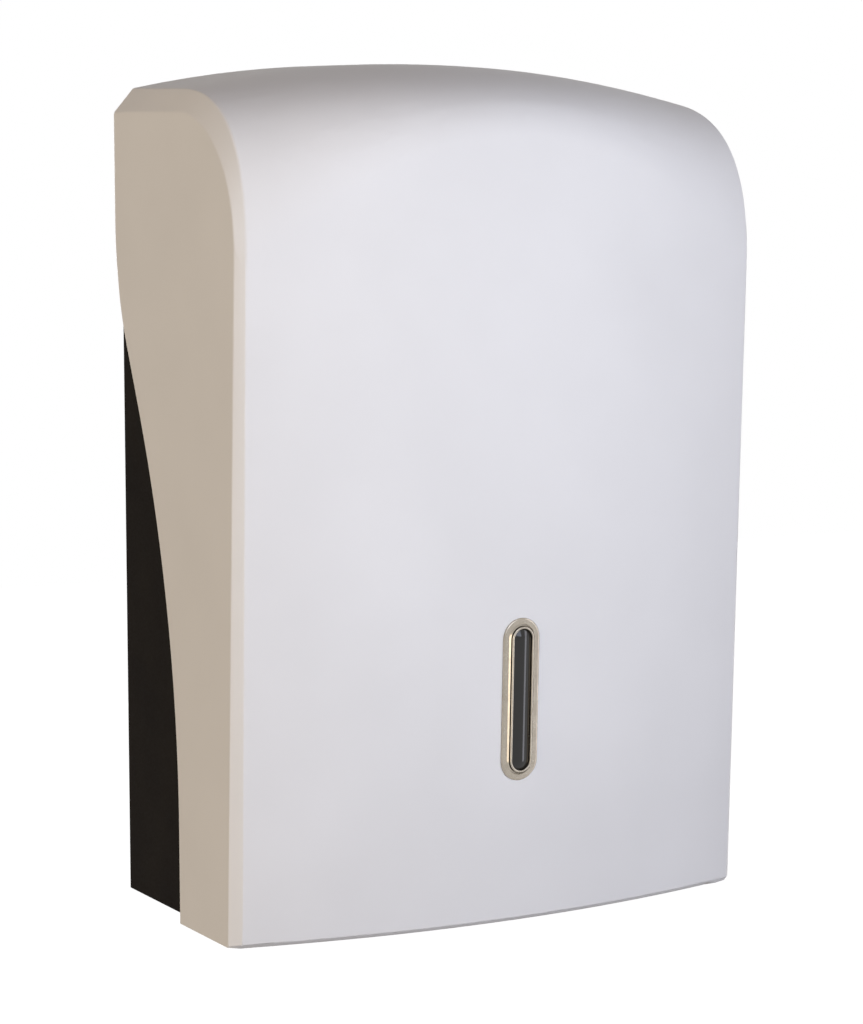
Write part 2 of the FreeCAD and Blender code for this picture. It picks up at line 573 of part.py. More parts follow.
# two ribs under the roof, in front of the chassis rim
for side in (-1, 1):
    word = "left" if side < 0 else "right"
    rib = new_sketch(cover, "roof_rib_line_" + word, "YZ_Plane", "%d * Size.roof_rib_side" % side)
    crest = "(Fit.roof_rib_crest - Fit.fall * %s)"
    near, far = "(Size.rim_depth + 5)", "(Size.rim_depth + Size.roof_rib_length)"
    outline(rib, [("-" + near, crest % near), ("-" + far, crest % far),
                  ("-" + far, (crest % far) + " - Size.roof_rib_drop / 2"),
                  ("-" + near, (crest % near) + " - Size.roof_rib_drop")])
    pad(cover, rib, "Size.roof_rib_wall", "roof_rib_" + word, symmetric=True)

# seat of the lock in the roof
lock_boss = new_sketch(cover, "lock_boss_ring", "XY_Plane", "Fit.lock_boss_bottom")
ring(lock_boss, "0", "-Size.lock_depth", "Size.lock_boss_radius")
pad(cover, lock_boss, "Fit.apex - Fit.fall * Size.lock_depth - Size.cover_wall / 2"
    " - Fit.lock_boss_bottom", "lock_boss")
lock_seat = new_sketch(cover, "lock_seat_ring", "XY_Plane", "Fit.lock_seat")
ring(lock_seat, "0", "-Size.lock_depth", "Size.lock_flange_radius + Size.seat_gap")
pocket(cover, lock_seat, "lock_seat", "Size.lock_flange + 4", True)
lock_hole = new_sketch(cover, "lock_hole_ring", "XY_Plane", "Fit.lock_seat + 1")
ring(lock_hole, "0", "-Size.lock_depth", "Size.lock_radius + Size.screw_gap")
pocket(cover, lock_hole, "lock_hole", "Fit.lock_seat - Fit.lock_boss_bottom + 3")

# slot for the level window
window_slot = new_sketch(cover, "window_slot_line", "XZ_Plane",
                         "Size.front_depth + Size.front_bow + Fit.lean * Size.window_height + 6")
window_slot.setExpression("AttachmentOffset.Base.y", "Size.window_height")
oblong(window_slot, "Size.window_reach", "Size.stem_radius + Size.stem_gap")
pocket(cover, window_slot, "window_slot", "Size.cover_wall + 14")


# ---------------------------------------------------------------- chassis

def chassis_outline(sketch, wall, low):
    """The cover's inner outline less the running gap: upright sides, bevels and a crowned top."""
    half = "(Fit.wing_half - %s)" % wall
    side_high = "(Fit.rim_side - %s * tan(22.5))" % wall
    bevel_half = "(Fit.rim_bevel_half - %s * tan(22.5))" % wall
    bevel_high = "(Fit.rim_bevel_high - %s)" % wall
    return outline(sketch, [
        ("-" + half, low), (half, low), (half, side_high), (bevel_half, bevel_high),
        ("-" + bevel_half, bevel_high), ("-" + half, side_high)],
        {3: ("Fit.rim_radius", 1)})


chassis = new_body("back_chassis")
shell = chassis_outline(new_sketch(chassis, "shell_line", "XZ_Plane"), "0", "Size.chassis_bottom")
pad(chassis, shell, "Size.rear_setback + Size.wing_overlap", "shell")
hollow = chassis_outline(new_sketch(chassis, "hollow_line", "XZ_Plane", "Size.chassis_wall"),
                         "Size.chassis_wall", "Size.chassis_bottom - 5")
pocket(chassis, hollow, "hollow", "Size.rear_setback + Size.wing_overlap", True)
wing_points = swoop("Size.rim_depth", "Size.rear_setback + Size.wing_overlap", "wing_edge")
ahead = outline(new_sketch(chassis, "ahead_of_wings", "YZ_Plane"),
                [("-Size.rim_depth", "Fit.apex + 20")] + wing_points
                + [("-(Size.rear_setback + Size.wing_overlap)", "-10"), ("-300", "-10"),
                   ("-300", "Fit.apex + 20")],
                {1: ("Size.swoop_upper_radius", -1), 3: ("Fit.wing_edge_lower_radius", 1)})
pocket(chassis, ahead, "wing_edges")
notch = box_outline(new_sketch(chassis, "lock_notch_line", "XY_Plane", "Fit.rim_side"),
                    "-Size.lock_notch_half", "Size.lock_notch_half",
                    "-(Size.rim_depth + 5)", "-(Size.chassis_wall + 2)")
pocket(chassis, notch, "lock_notch", "Size.crown_rise + 20", True)

glide = box_outline(new_sketch(chassis, "glide_line", "XZ_Plane", "Size.chassis_wall"),
                    "-(2 * Size.glide_pitch + Size.glide_width / 2)",
                    "-(2 * Size.glide_pitch - Size.glide_width / 2)",
                    "Size.glide_low", "Fit.glide_high")
glide_rib = pad(chassis, glide, "Size.glide_depth", "glide_rib")
glides = chassis.newObject("PartDesign::LinearPattern", "glide_ribs")
glides.Originals = [glide_rib]
glides.Direction = (glide, ["H_Axis"])
glides.setExpression("Length", "4 * Size.glide_pitch")
glides.Occurrences = 5
chassis.Tip = glides
doc.recompute()

fixings = new_sketch(chassis, "fixing_bosses", "XZ_Plane", "Size.chassis_wall")
fixing_holes = new_sketch(chassis, "fixing_holes", "XZ_Plane")
for across in (-1, 1):
    for up in (-1, 1):
        place = ("%d * Fit.fixing_spacing_wide / 2" % across,
                 "Fit.fixing_height + %d * Fit.fixing_spacing_high / 2" % up)
        ring(fixings, *place, "Size.fixing_boss_radius")
        ring(fixing_holes, *place, "Size.fixing_hole / 2")
pad(chassis, fixings, "Size.fixing_boss_depth", "fixing_boss")
pocket(chassis, fixing_holes, "fixing_hole")

posts = new_sketch(chassis, "screw_posts", "XZ_Plane", "Size.chassis_wall")
pilots = new_sketch(chassis, "screw_pilots", "XZ_Plane", "Fit.post_face")
post_places = [("%d * Size.keeper_screw_side" % side, "Fit.keeper_screw_height") for side in (-1, 1)]
post_places += [("%d * Fit.guide_screw_side" % side,
                 "Size.guide_screw_low + %d * Size.guide_screw_spacing" % row)
                for side in (-1, 1) for row in (0, 1)]
for place in post_places:
    ring(posts, *place, "Size.screw_boss_radius")
    ring(pilots, *place, "Size.pilot_radius")
pad(chassis, posts, "Size.post_height", "posts")
pocket(chassis, pilots, "post_pilots", "Size.post_height + 1")

hinge_place = ("-Fit.pin_depth", "Size.hinge_height")
boss = ring(new_sketch(chassis, "hinge_boss_ring", "YZ_Plane", "Fit.wing_inner - Size.hinge_boss"),
            *hinge_place, "Size.pin_diameter / 2 + Size.hinge_boss_wall")
hinge_boss = pad(chassis, boss, "Size.hinge_boss + 1", "hinge_boss_pad")
lugs = new_sketch(chassis, "tray_lug_lines", "XY_Plane", "Size.tray_level - Size.lug_thickness")
for row in (0, 1):
    middle = "(Size.tray_screw_rear + %d * Size.tray_screw_spacing)" % row
    box_outline(lugs, "Fit.tray_half - 1", "Fit.wing_inner + 1",
                "-%s - Size.lug_half" % middle, "-%s + Size.lug_half" % middle)
lug = pad(chassis, lugs, "Size.lug_thickness", "tray_lugs")
mirror_x(chassis, [hinge_boss, lug], "both_sides")
for side in (-1, 1):
    word = "left" if side < 0 else "right"
    bore = ring(new_sketch(chassis, "hinge_bore_" + word, "YZ_Plane",
                           "%d * (Fit.wing_inner - Size.hinge_boss)" % side),
                *hinge_place, "Size.pin_diameter / 2 + Size.press_gap")
    pocket(chassis, bore, "hinge_hole_" + word, "Size.hinge_boss + Size.chassis_wall + 1", side > 0)
    holes = new_sketch(chassis, "lug_holes_" + word, "XY_Plane", "Size.tray_level")
    for row in (0, 1):
        ring(holes, "%d * Fit.tray_screw_side" % side,
             "-(Size.tray_screw_rear + %d * Size.tray_screw_spacing)" % row, "Size.pilot_radius")
    pocket(chassis, holes, "lug_hole_" + word, "Size.lug_thickness + 1")


# ---------------------------------------------------------------- magazine floor

tray = new_body("towel_tray")
rear, front, nose = "-Fit.tray_rear", "-Fit.tray_depth", "-Fit.nose_depth"
floor = outline(new_sketch(tray, "floor_line", "XY_Plane", "Size.tray_level"), [
    ("Fit.tray_half", rear), ("-Fit.tray_half", rear), ("-Fit.tray_half", front),
    ("-Fit.nose_half", front), ("-Fit.nose_half", nose), ("Fit.nose_half", nose),
    ("Fit.nose_half", front), ("Fit.tray_half", front)], {4: ("Fit.nose_radius", 1)})
pad(tray, floor, "Size.tray_wall", "floor")
flanges = new_sketch(tray, "flange_lines", "XY_Plane", "Size.tray_level")
for side in (-1, 1):
    for row in (0, 1):
        middle = "(Size.tray_screw_rear + %d * Size.tray_screw_spacing)" % row
        near, far = "%d * (Fit.tray_half - 1)" % side, "%d * (Fit.wing_inner - Size.seat_gap)" % side
        low, high = (far, near) if side < 0 else (near, far)
        box_outline(flanges, low, high, "-%s - Size.lug_half" % middle, "-%s + Size.lug_half" % middle)
pad(tray, flanges, "Size.tray_wall", "side_flanges")
sides = new_sketch(tray, "side_lines", "XY_Plane", "Size.tray_level")
inner_half = "(Fit.tray_half - Size.tray_wall)"
box_outline(sides, "-Fit.tray_half", "-" + inner_half, front, rear)
box_outline(sides, inner_half, "Fit.tray_half", front, rear)
pad(tray, sides, "Size.tray_side_height", "sides")
nose_inner, step_inner = "(Fit.nose_half - Size.tray_wall)", "-(Fit.tray_depth - Size.tray_wall)"
bow_inner = "-(Fit.nose_depth - Size.tray_wall)"
lip = outline(new_sketch(tray, "lip_line", "XY_Plane", "Size.tray_level"), [
    ("Fit.tray_half", step_inner), (nose_inner, step_inner), (nose_inner, bow_inner),
    ("-" + nose_inner, bow_inner), ("-" + nose_inner, step_inner), ("-Fit.tray_half", step_inner),
    ("-Fit.tray_half", front), ("-Fit.nose_half", front), ("-Fit.nose_half", nose),
    ("Fit.nose_half", nose), ("Fit.nose_half", front), ("Fit.tray_half", front)],
    {2: ("Fit.nose_radius - Size.tray_wall", -1), 8: ("Fit.nose_radius", 1)})
pad(tray, lip, "Size.tray_lip_height", "front_lip")
throat_hole = rounded_box(new_sketch(tray, "throat_line", "XY_Plane", "Fit.floor_top"),
                          "-Fit.throat_half", "Fit.throat_half", "-Fit.throat_front",
                          "-Size.throat_rear", "Size.throat_corner")
pocket(tray, throat_hole, "throat", "Size.tray_wall + 1")
flange_holes = new_sketch(tray, "flange_holes", "XY_Plane", "Fit.floor_top")
for side in (-1, 1):
    for row in (0, 1):
        ring(flange_holes, "%d * Fit.tray_screw_side" % side,
             "-(Size.tray_screw_rear + %d * Size.tray_screw_spacing)" % row,
             "Size.screw_radius + Size.screw_gap")
pocket(tray, flange_holes, "flange_screw_holes", "Size.tray_wall + 1")

throat = new_body("throat_insert")
rim = rounded_box(new_sketch(throat, "rim_line", "XY_Plane", "Fit.floor_top"),
                  "-(Fit.throat_half + Size.throat_rim)", "Fit.throat_half + Size.throat_rim",
                  "-(Fit.throat_front + Size.throat_rim)", "Size.throat_rim - Size.throat_rear",
                  "Size.throat_corner + Size.throat_rim")
pad(throat, rim, "Size.throat_flange", "rim")
sleeve = rounded_box(new_sketch(throat, "sleeve_line", "XY_Plane", "Fit.floor_top"),
                     "Size.throat_gap - Fit.throat_half", "Fit.throat_half - Size.throat_gap",
                     "Size.throat_gap - Fit.throat_front", "-(Size.throat_rear + Size.throat_gap)",
                     "Size.throat_corner - Size.throat_gap")
pad(throat, sleeve, "Size.throat_drop", "sleeve", reversed_way=True)
wide = rounded_box(new_sketch(throat, "mouth_top", "XY_Plane", "Fit.floor_top + Size.throat_flange"),
                   "-(Fit.throat_half - Size.mouth_margin)", "Fit.throat_half - Size.mouth_margin",
                   "-(Fit.throat_front - Size.mouth_margin)",
                   "-(Size.throat_rear + Size.mouth_margin)", "Size.throat_corner")
narrow = rounded_box(new_sketch(throat, "mouth_foot", "XY_Plane", "Fit.floor_top - Size.throat_drop"),
                     "-Fit.mouth_half", "Fit.mouth_half", "-Fit.mouth_front", "-Fit.mouth_rear",
                     "Size.mouth_corner")
loft(throat, [wide, narrow], "mouth", subtractive=True, ruled=True)

for side in (-1, 1):
    word = "left" if side < 0 else "right"
    guide = new_body(word + "_towel_guide")
    outer, inner = "%d * Fit.guide_half" % side, "%d * (Fit.guide_half - Size.guide_wall)" % side
    lip_end, flange_end = ("%d * (Fit.guide_half - Size.guide_lip)" % side,
                           "%d * (Fit.guide_half + Size.guide_flange)" % side)
    profile = outline(new_sketch(guide, "guide_profile", "XY_Plane", "Size.guide_low"), [
        (flange_end, "-Fit.post_face"), (inner, "-Fit.post_face"),
        (inner, "-(Fit.tray_depth - Size.guide_wall)"),
        (lip_end, "-(Fit.tray_depth - Size.guide_wall)"), (lip_end, "-Fit.tray_depth"),
        (outer, "-Fit.tray_depth"), (outer, "-Fit.flange_face"), (flange_end, "-Fit.flange_face")])
    pad(guide, profile, "Size.guide_high - Size.guide_low", "upright")
    for row in (0, 1):
        low = "Size.guide_low + Size.guide_window_margin + %d * Size.guide_window_pitch" % row
        window = rounded_box(new_sketch(guide, "guide_window_%d" % row, "YZ_Plane"),
                             "-(Fit.tray_depth - Size.guide_window_margin)",
                             "-Size.guide_window_margin", low,
                             "%s + Size.guide_window_height" % low, "Size.guide_window_corner")
        pocket(guide, window, "guide_window_cut_%d" % row)
    guide_holes = new_sketch(guide, "guide_hole_rings", "XZ_Plane", "Fit.flange_face")
    for row in (0, 1):
        ring(guide_holes, "%d * Fit.guide_screw_side" % side,
             "Size.guide_screw_low + %d * Size.guide_screw_spacing" % row,
             "Size.screw_radius + Size.screw_gap")
    pocket(guide, guide_holes, "guide_holes", "Size.guide_flange_wall + 1")


# ---------------------------------------------------------------- hinge

for side in (-1, 1):
    word = "left" if side < 0 else "right"
    arm = new_body("hinge_arm_" + word)
    face = "%d * Fit.arm_inner" % side
    bar = outline(new_sketch(arm, "bar_line", "YZ_Plane", face), [
        ("-Fit.pin_depth", "Size.hinge_height - Size.eye_radius"),
        ("-Fit.pin_depth", "Size.hinge_height + Size.eye_radius"),
        ("-Fit.arm_foot_depth", "Fit.arm_low + Size.arm_foot_height"),
        ("-Fit.arm_foot_depth", "Fit.arm_low")])
    pad(arm, bar, "Size.arm_thickness", "bar", reversed_way=side < 0)
    eye = ring(new_sketch(arm, "eye_line", "YZ_Plane", face), *hinge_place, "Size.eye_radius")
    pad(arm, eye, "Size.arm_thickness", "eye", reversed_way=side < 0)
    foot_outer = "%d * Fit.arm_outer" % side
    foot_inner = "%d * (Fit.arm_outer - Size.arm_foot_width)" % side
    low, high = (foot_outer, foot_inner) if side < 0 else (foot_inner, foot_outer)
    foot = rounded_box(new_sketch(arm, "foot_line", "XZ_Plane", "Fit.arm_foot_depth"), low, high,
                       "Fit.arm_low", "Fit.arm_low + Size.arm_foot_height", "Size.arm_foot_corner")
    pad(arm, foot, "Size.arm_foot_wall", "foot")
    bore = ring(new_sketch(arm, "bore_line", "YZ_Plane"), *hinge_place,
                "Size.pin_diameter / 2 + Size.pin_fit")
    pocket(arm, bore, "bore")
    foot_holes = new_sketch(arm, "foot_hole_rings", "XZ_Plane", "Fit.foot_front")
    for row in (0, 1):
        ring(foot_holes, "%d * Fit.arm_screw" % side,
             "Size.arm_screw_low + %d * Size.arm_screw_spacing" % row,
             "Size.screw_radius + Size.screw_gap")
    pocket(arm, foot_holes, "foot_holes", "Size.arm_foot_wall + 1")

    pin = new_body("hinge_pin_" + word)
    shank = ring(new_sketch(pin, "shank_line", "YZ_Plane", "%d * (Fit.arm_inner - Size.seat_gap)" % side),
                 *hinge_place, "Size.pin_diameter / 2")
    pad(pin, shank, "Fit.wing_half - Fit.arm_inner", "shank", reversed_way=side < 0)
    head = ring(new_sketch(pin, "head_line", "YZ_Plane", "%d * (Fit.arm_inner - Size.seat_gap)" % side),
                *hinge_place, "Size.pin_head_radius")
    pad(pin, head, "Size.pin_head", "head", reversed_way=side > 0)


# ---------------------------------------------------------------- level window

def window_layer(body, name, radius, start, length, cut=False):
    """An oblong slab of the window, from a depth behind the front face inwards."""
    line = oblong(new_sketch(body, name + "_line", "XZ_Plane", "-(%s)" % start),
                  "Size.window_reach", radius)
    if cut:
        return pocket(body, line, name, length)
    return pad(body, line, length, name, reversed_way=True)


bezel = new_body("window_bezel", in_front=True)
window_layer(bezel, "flange", "Size.flange_radius", "-Size.flange_rise", "Size.flange_rise")
window_layer(bezel, "ring", "Size.ring_radius", "-Size.ring_rise", "Size.ring_rise")
window_layer(bezel, "stem", "Size.stem_radius", "0", "Size.stem_length")
window_layer(bezel, "opening", "Size.slot_radius", "-Size.ring_rise - 1", "Size.stem_length + 10", True)
window_layer(bezel, "lens_seat", "Size.lens_lip_radius + Size.screw_gap", "Size.lens_seat",
             "Size.stem_length", True)


def at_depth(body, formula, radius_formula):
    """Edges of an oblong of a given radius at a depth behind the front face."""
    depth, radius = number(formula), number(radius_formula)

    def test(edge):
        box = edge.BoundBox
        level = abs(box.YMin - depth) < 0.01 and box.YLength < 0.01
        return level and abs(max(abs(box.XMin), abs(box.XMax)) - radius) < 0.01
    return test


dress(bezel, "Chamfer", "flange_edge", "Size.flange_rise * 0.6",
      at_depth(bezel, "-Size.flange_rise", "Size.flange_radius"))
dress(bezel, "Chamfer", "ring_outer_edge", "Size.ring_chamfer",
      at_depth(bezel, "-Size.ring_rise", "Size.ring_radius"))
dress(bezel, "Chamfer", "ring_inner_edge", "Size.ring_chamfer",
      at_depth(bezel, "-Size.ring_rise", "Size.slot_radius"))

lens = new_body("window_lens", in_front=True)
window_layer(lens, "lens_face", "Size.slot_radius - Size.screw_gap",
             "Size.lens_recess - Size.ring_rise", "Size.ring_rise - Size.lens_recess + Size.lens_seat")
window_layer(lens, "lens_lip", "Size.lens_lip_radius", "Size.lens_seat", "Size.lens_lip")

retainer = new_body("window_retainer", in_front=True)
window_layer(retainer, "skirt", "Size.stem_radius + Size.seat_gap + Size.retainer_wall",
             "Size.cover_wall + Size.seat_gap",
             "Size.stem_length - Size.cover_wall + Size.retainer_wall")
window_layer(retainer, "skirt_bore", "Size.stem_radius + Size.seat_gap",
             "Size.cover_wall", "Size.stem_length - Size.cover_wall + Size.seat_gap", True)
window_layer(retainer, "sleeve", "Size.lens_lip_radius",
             "Size.lens_seat + Size.lens_lip + Size.screw_gap",
             "Size.stem_length - Size.lens_seat - Size.lens_lip + Size.retainer_wall")
window_layer(retainer, "sight", "Size.slot_radius", "0", "Size.stem_length + 10", True)


# ---------------------------------------------------------------- lock

def profile(body, name, points):
    """Half outline of a turned piece: radius from the upright axis, and height."""
    return revolve(body, outline(new_sketch(body, name + "_line", "XZ_Plane"), points), name)


lock_body = new_body("lock_body", depth="Size.lock_depth")
bore, head = "Size.plug_radius + Size.plug_fit", "Size.plug_head_radius + Size.plug_fit"
ledge = "Fit.lock_top - Size.plug_head - Size.plug_sink - Size.plug_fit"
profile(lock_body, "barrel", [
    (bore, "Fit.tang_top + 1"), ("Size.lock_radius", "Fit.tang_top + 1"),
    ("Size.lock_radius", "Fit.lock_seat"), ("Size.lock_flange_radius", "Fit.lock_seat"),
    ("Size.lock_flange_radius", "Fit.lock_top"), (head, "Fit.lock_top"), (head, ledge),
    (bore, ledge)])

nut = new_body("lock_nut", depth="Size.lock_depth")
corners = [("%s * cos(%d)" % ("Size.nut_across / 2 / cos(30)", turn),
            "%s * sin(%d)" % ("Size.nut_across / 2 / cos(30)", turn)) for turn in range(0, 360, 60)]
hexagon = outline(new_sketch(nut, "hexagon", "XY_Plane", "Fit.lock_boss_bottom"), corners)
pad(nut, hexagon, "Size.nut_thickness", "nut_blank", reversed_way=True)
thread = ring(new_sketch(nut, "thread_line", "XY_Plane", "Fit.lock_boss_bottom"),
              "0", "0", "Size.lock_radius + Size.plug_fit")
pocket(nut, thread, "thread_hole", "Size.nut_thickness + 1")

plug = new_body("lock_plug", depth="Size.lock_depth")
under_head = "Fit.lock_top - Size.plug_head - Size.plug_sink"
profile(plug, "plug_turned", [
    ("0", "Fit.tang_top"), ("Size.plug_radius", "Fit.tang_top"), ("Size.plug_radius", under_head),
    ("Size.plug_head_radius", under_head), ("Size.plug_head_radius", "Fit.lock_top - Size.plug_sink"),
    ("0", "Fit.lock_top - Size.plug_sink")])
tang = box_outline(new_sketch(plug, "tang_line", "XY_Plane", "Fit.tang_top"),
                   "-Size.tang_half", "Size.tang_half", "-Size.tang_half", "Size.tang_half")
pad(plug, tang, "Fit.tang_top - Fit.cam_bottom", "tang", reversed_way=True)
key = box_outline(new_sketch(plug, "key_line", "XY_Plane", "Fit.lock_top - Size.plug_sink"),
                  "-Size.plug_radius + 1", "Size.plug_radius - 1",
                  "-Size.key_slot / 2", "Size.key_slot / 2")
pocket(plug, key, "keyway", "Size.key_depth")
tapping = ring(new_sketch(plug, "tapping_line", "XY_Plane", "Fit.cam_bottom"), "0", "0",
               "Size.pilot_radius")
pocket(plug, tapping, "tapping", "Size.screw_length", True)

cam = new_body("lock_cam", depth="Size.lock_depth")
plate = box_outline(new_sketch(cam, "plate_line", "XY_Plane", "Fit.cam_bottom"),
                    "-Size.cam_half - 1", "Size.cam_reach", "-Size.cam_half", "Size.cam_half")
pad(cam, plate, "Size.cam_thickness", "plate")
hook = box_outline(new_sketch(cam, "hook_line", "XY_Plane", "Fit.cam_bottom"),
                   "Size.cam_reach - Size.cam_hook", "Size.cam_reach",
                   "-Size.cam_hook_half", "Size.cam_hook_half")
pad(cam, hook, "Size.cam_drop", "hook", reversed_way=True)
square = box_outline(new_sketch(cam, "square_line", "XY_Plane", "Fit.cam_top"),
                     "-Size.tang_half - Size.plug_fit", "Size.tang_half + Size.plug_fit",
                     "-Size.tang_half - Size.plug_fit", "Size.tang_half + Size.plug_fit")
pocket(cam, square, "square_hole", "Size.cam_thickness + 1")

keeper = new_body("lock_keeper")
side_line = outline(new_sketch(keeper, "keeper_line", "YZ_Plane"), [
    ("-Fit.post_face", "Fit.keeper_screw_height - Size.keeper_base / 2"),
    ("-Fit.post_face", "Fit.keeper_shelf"),
    ("-Fit.keeper_back", "Fit.keeper_shelf"), ("-Fit.keeper_back", "Fit.keeper_crest"),
    ("-(Fit.keeper_back + Size.keeper_wall)", "Fit.keeper_crest"),
    ("-(Fit.keeper_back + Size.keeper_wall)", "Fit.keeper_shelf - Size.keeper_wall"),
    ("-(Fit.post_face + Size.keeper_wall)", "Fit.keeper_shelf - Size.keeper_wall"),
    ("-(Fit.post_face + Size.keeper_wall)", "Fit.keeper_screw_height - Size.keeper_base / 2")])
pad(keeper, side_line, "2 * Size.keeper_half", "bent_strip", symmetric=True)
trims = new_sketch(keeper, "tab_trims", "XZ_Plane", "Fit.post_face + Size.keeper_wall")
box_outline(trims, "-Size.keeper_half - 1", "-Size.keeper_left",
            "Fit.keeper_shelf - Size.keeper_wall - 1", "Fit.keeper_crest + 1")
box_outline(trims, "Size.keeper_right", "Size.keeper_half + 1",
            "Fit.keeper_shelf - Size.keeper_wall - 1", "Fit.keeper_crest + 1")
pocket(keeper, trims, "tab_sides", "Fit.keeper_back", True)
keeper_holes = new_sketch(keeper, "keeper_hole_rings", "XZ_Plane", "Fit.post_face + Size.keeper_wall")
for side in (-1, 1):
    ring(keeper_holes, "%d * Size.keeper_screw_side" % side, "Fit.keeper_screw_height",
         "Size.screw_radius + Size.screw_gap")
pocket(keeper, keeper_holes, "keeper_holes", "Size.keeper_wall + 1")


# ---------------------------------------------------------------- screws

def screw(body, sketch, across, seat, length, way, head_radius="Size.screw_head_radius"):
    """A flat-headed screw turned about its own axis; way is 1 when the shank points upwards."""
    sketch.setExpression("AttachmentOffset.Base.x", across)
    shank = "%s + %d * (%s)" % (seat, way, length)
    crown = "%s - %d * Size.screw_head" % (seat, way)
    outline(sketch, [("0", shank), ("Size.screw_radius", shank), ("Size.screw_radius", seat),
                     (head_radius, seat), (head_radius, crown), ("0", crown)])
    return revolve(body, sketch, sketch.Name + "_turned")


def screw_group(label, plane, levels, across, seat, length, way):
    """Equal screws at each level along a plane's normal, on both sides of the middle plane."""
    body = new_body(label)
    body.AllowCompound = True
    turned = [screw(body, new_sketch(body, "screw_line_%d" % index, plane, level), across, seat,
                    length, way) for index, level in enumerate(levels)]
    mirror_x(body, turned, "other_side")


screw_group("tray_screws", "XZ_Plane",
            ["Size.tray_screw_rear", "Size.tray_screw_rear + Size.tray_screw_spacing"],
            "Fit.tray_screw_side", "Fit.floor_top", "Size.tray_wall + Size.lug_thickness - 0.3", -1)
screw_group("guide_screws", "XY_Plane",
            ["Size.guide_screw_low", "Size.guide_screw_low + Size.guide_screw_spacing"],
            "Fit.guide_screw_side", "-Fit.flange_face",
            "Size.guide_flange_wall + Size.post_height + 0.5", 1)
screw_group("keeper_screws", "XY_Plane", ["Fit.keeper_screw_height"], "Size.keeper_screw_side",
            "-(Fit.post_face + Size.keeper_wall)", "Size.keeper_wall + Size.post_height + 0.5", 1)
screw_group("hinge_arm_screws", "XY_Plane",
            ["Size.arm_screw_low", "Size.arm_screw_low + Size.arm_screw_spacing"],
            "Fit.arm_screw", "-Fit.arm_foot_depth", "Size.screw_length", -1)
cam_screw = new_body("cam_screw", depth="Size.lock_depth")
screw(cam_screw, new_sketch(cam_screw, "cam_screw_line", "XZ_Plane"), "0", "Fit.cam_bottom",
      "Size.screw_length - 1", 1, "Size.cam_screw_head_radius")


# ---------------------------------------------------------------- solids for the rest of the chain

doc.recompute()
for item in doc.Objects:
    if "Invalid" in item.State or "Error" in item.State:
        raise RuntimeError("%s does not solve" % item.Label)

pieces = [item for item in doc.Objects if item.TypeId == "PartDesign::Body"]
os.makedirs("parts", exist_ok=True)
for piece in pieces:
    if piece.Shape.isNull() or not piece.Shape.isValid():
        raise RuntimeError("%s has no valid solid" % piece.Label)
    piece.Shape.exportStep("parts/%s.step" % piece.Label)
print("%d pieces written" % len(pieces))
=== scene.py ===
import json
import math

import bpy
from mathutils import Matrix, Vector

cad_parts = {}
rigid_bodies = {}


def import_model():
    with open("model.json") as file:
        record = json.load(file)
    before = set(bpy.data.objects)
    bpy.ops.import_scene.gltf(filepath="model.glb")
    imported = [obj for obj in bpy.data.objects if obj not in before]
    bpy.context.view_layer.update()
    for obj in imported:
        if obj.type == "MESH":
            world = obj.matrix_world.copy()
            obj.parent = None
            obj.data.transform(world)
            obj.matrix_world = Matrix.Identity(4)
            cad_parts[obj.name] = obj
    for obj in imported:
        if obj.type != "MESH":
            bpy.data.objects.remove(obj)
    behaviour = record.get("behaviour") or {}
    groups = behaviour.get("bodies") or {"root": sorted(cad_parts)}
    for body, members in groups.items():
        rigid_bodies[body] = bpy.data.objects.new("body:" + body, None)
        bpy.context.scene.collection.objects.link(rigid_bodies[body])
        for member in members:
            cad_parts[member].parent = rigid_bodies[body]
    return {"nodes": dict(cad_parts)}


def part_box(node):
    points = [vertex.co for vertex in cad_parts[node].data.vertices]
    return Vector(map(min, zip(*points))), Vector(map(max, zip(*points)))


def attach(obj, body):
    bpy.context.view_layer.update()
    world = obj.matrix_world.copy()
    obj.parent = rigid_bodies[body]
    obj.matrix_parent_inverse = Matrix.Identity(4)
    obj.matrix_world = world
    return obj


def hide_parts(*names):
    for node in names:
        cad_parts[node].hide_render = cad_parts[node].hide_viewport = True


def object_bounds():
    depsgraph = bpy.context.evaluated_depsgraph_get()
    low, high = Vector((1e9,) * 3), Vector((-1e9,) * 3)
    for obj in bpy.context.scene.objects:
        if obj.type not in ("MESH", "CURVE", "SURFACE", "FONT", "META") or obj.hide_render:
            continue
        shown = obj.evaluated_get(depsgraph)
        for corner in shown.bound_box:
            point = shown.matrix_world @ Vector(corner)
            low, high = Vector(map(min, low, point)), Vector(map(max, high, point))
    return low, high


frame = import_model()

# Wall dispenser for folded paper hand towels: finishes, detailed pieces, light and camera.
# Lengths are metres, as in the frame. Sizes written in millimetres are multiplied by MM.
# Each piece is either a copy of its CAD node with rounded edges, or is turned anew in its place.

MM = 0.001
CAD_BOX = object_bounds()
NODES = frame["nodes"]


# ---------------------------------------------------------------- material helpers

# The Mix node repeats its socket names, so its colour sockets are called by place.
FIRST_COLOUR, SECOND_COLOUR, MIXED_COLOUR = 6, 7, 2
NOISE_LOW, NOISE_HIGH = 0.3, 0.7       # a noise seldom goes past these
FINE_DETAIL = 3.0                      # octaves in a grain
ROLLED_OUT = (0.08, 1.0, 1.0)          # rolling draws a pattern out along X, to 12 times its length


def linear(colour):
    """Linear values of an sRGB hex colour, with full alpha."""
    shares = [int(colour[place:place + 2], 16) / 255 for place in (1, 3, 5)]
    return tuple(c / 12.92 if c <= 0.04045 else ((c + 0.055) / 1.055) ** 2.4 for c in shares) + (1.0,)


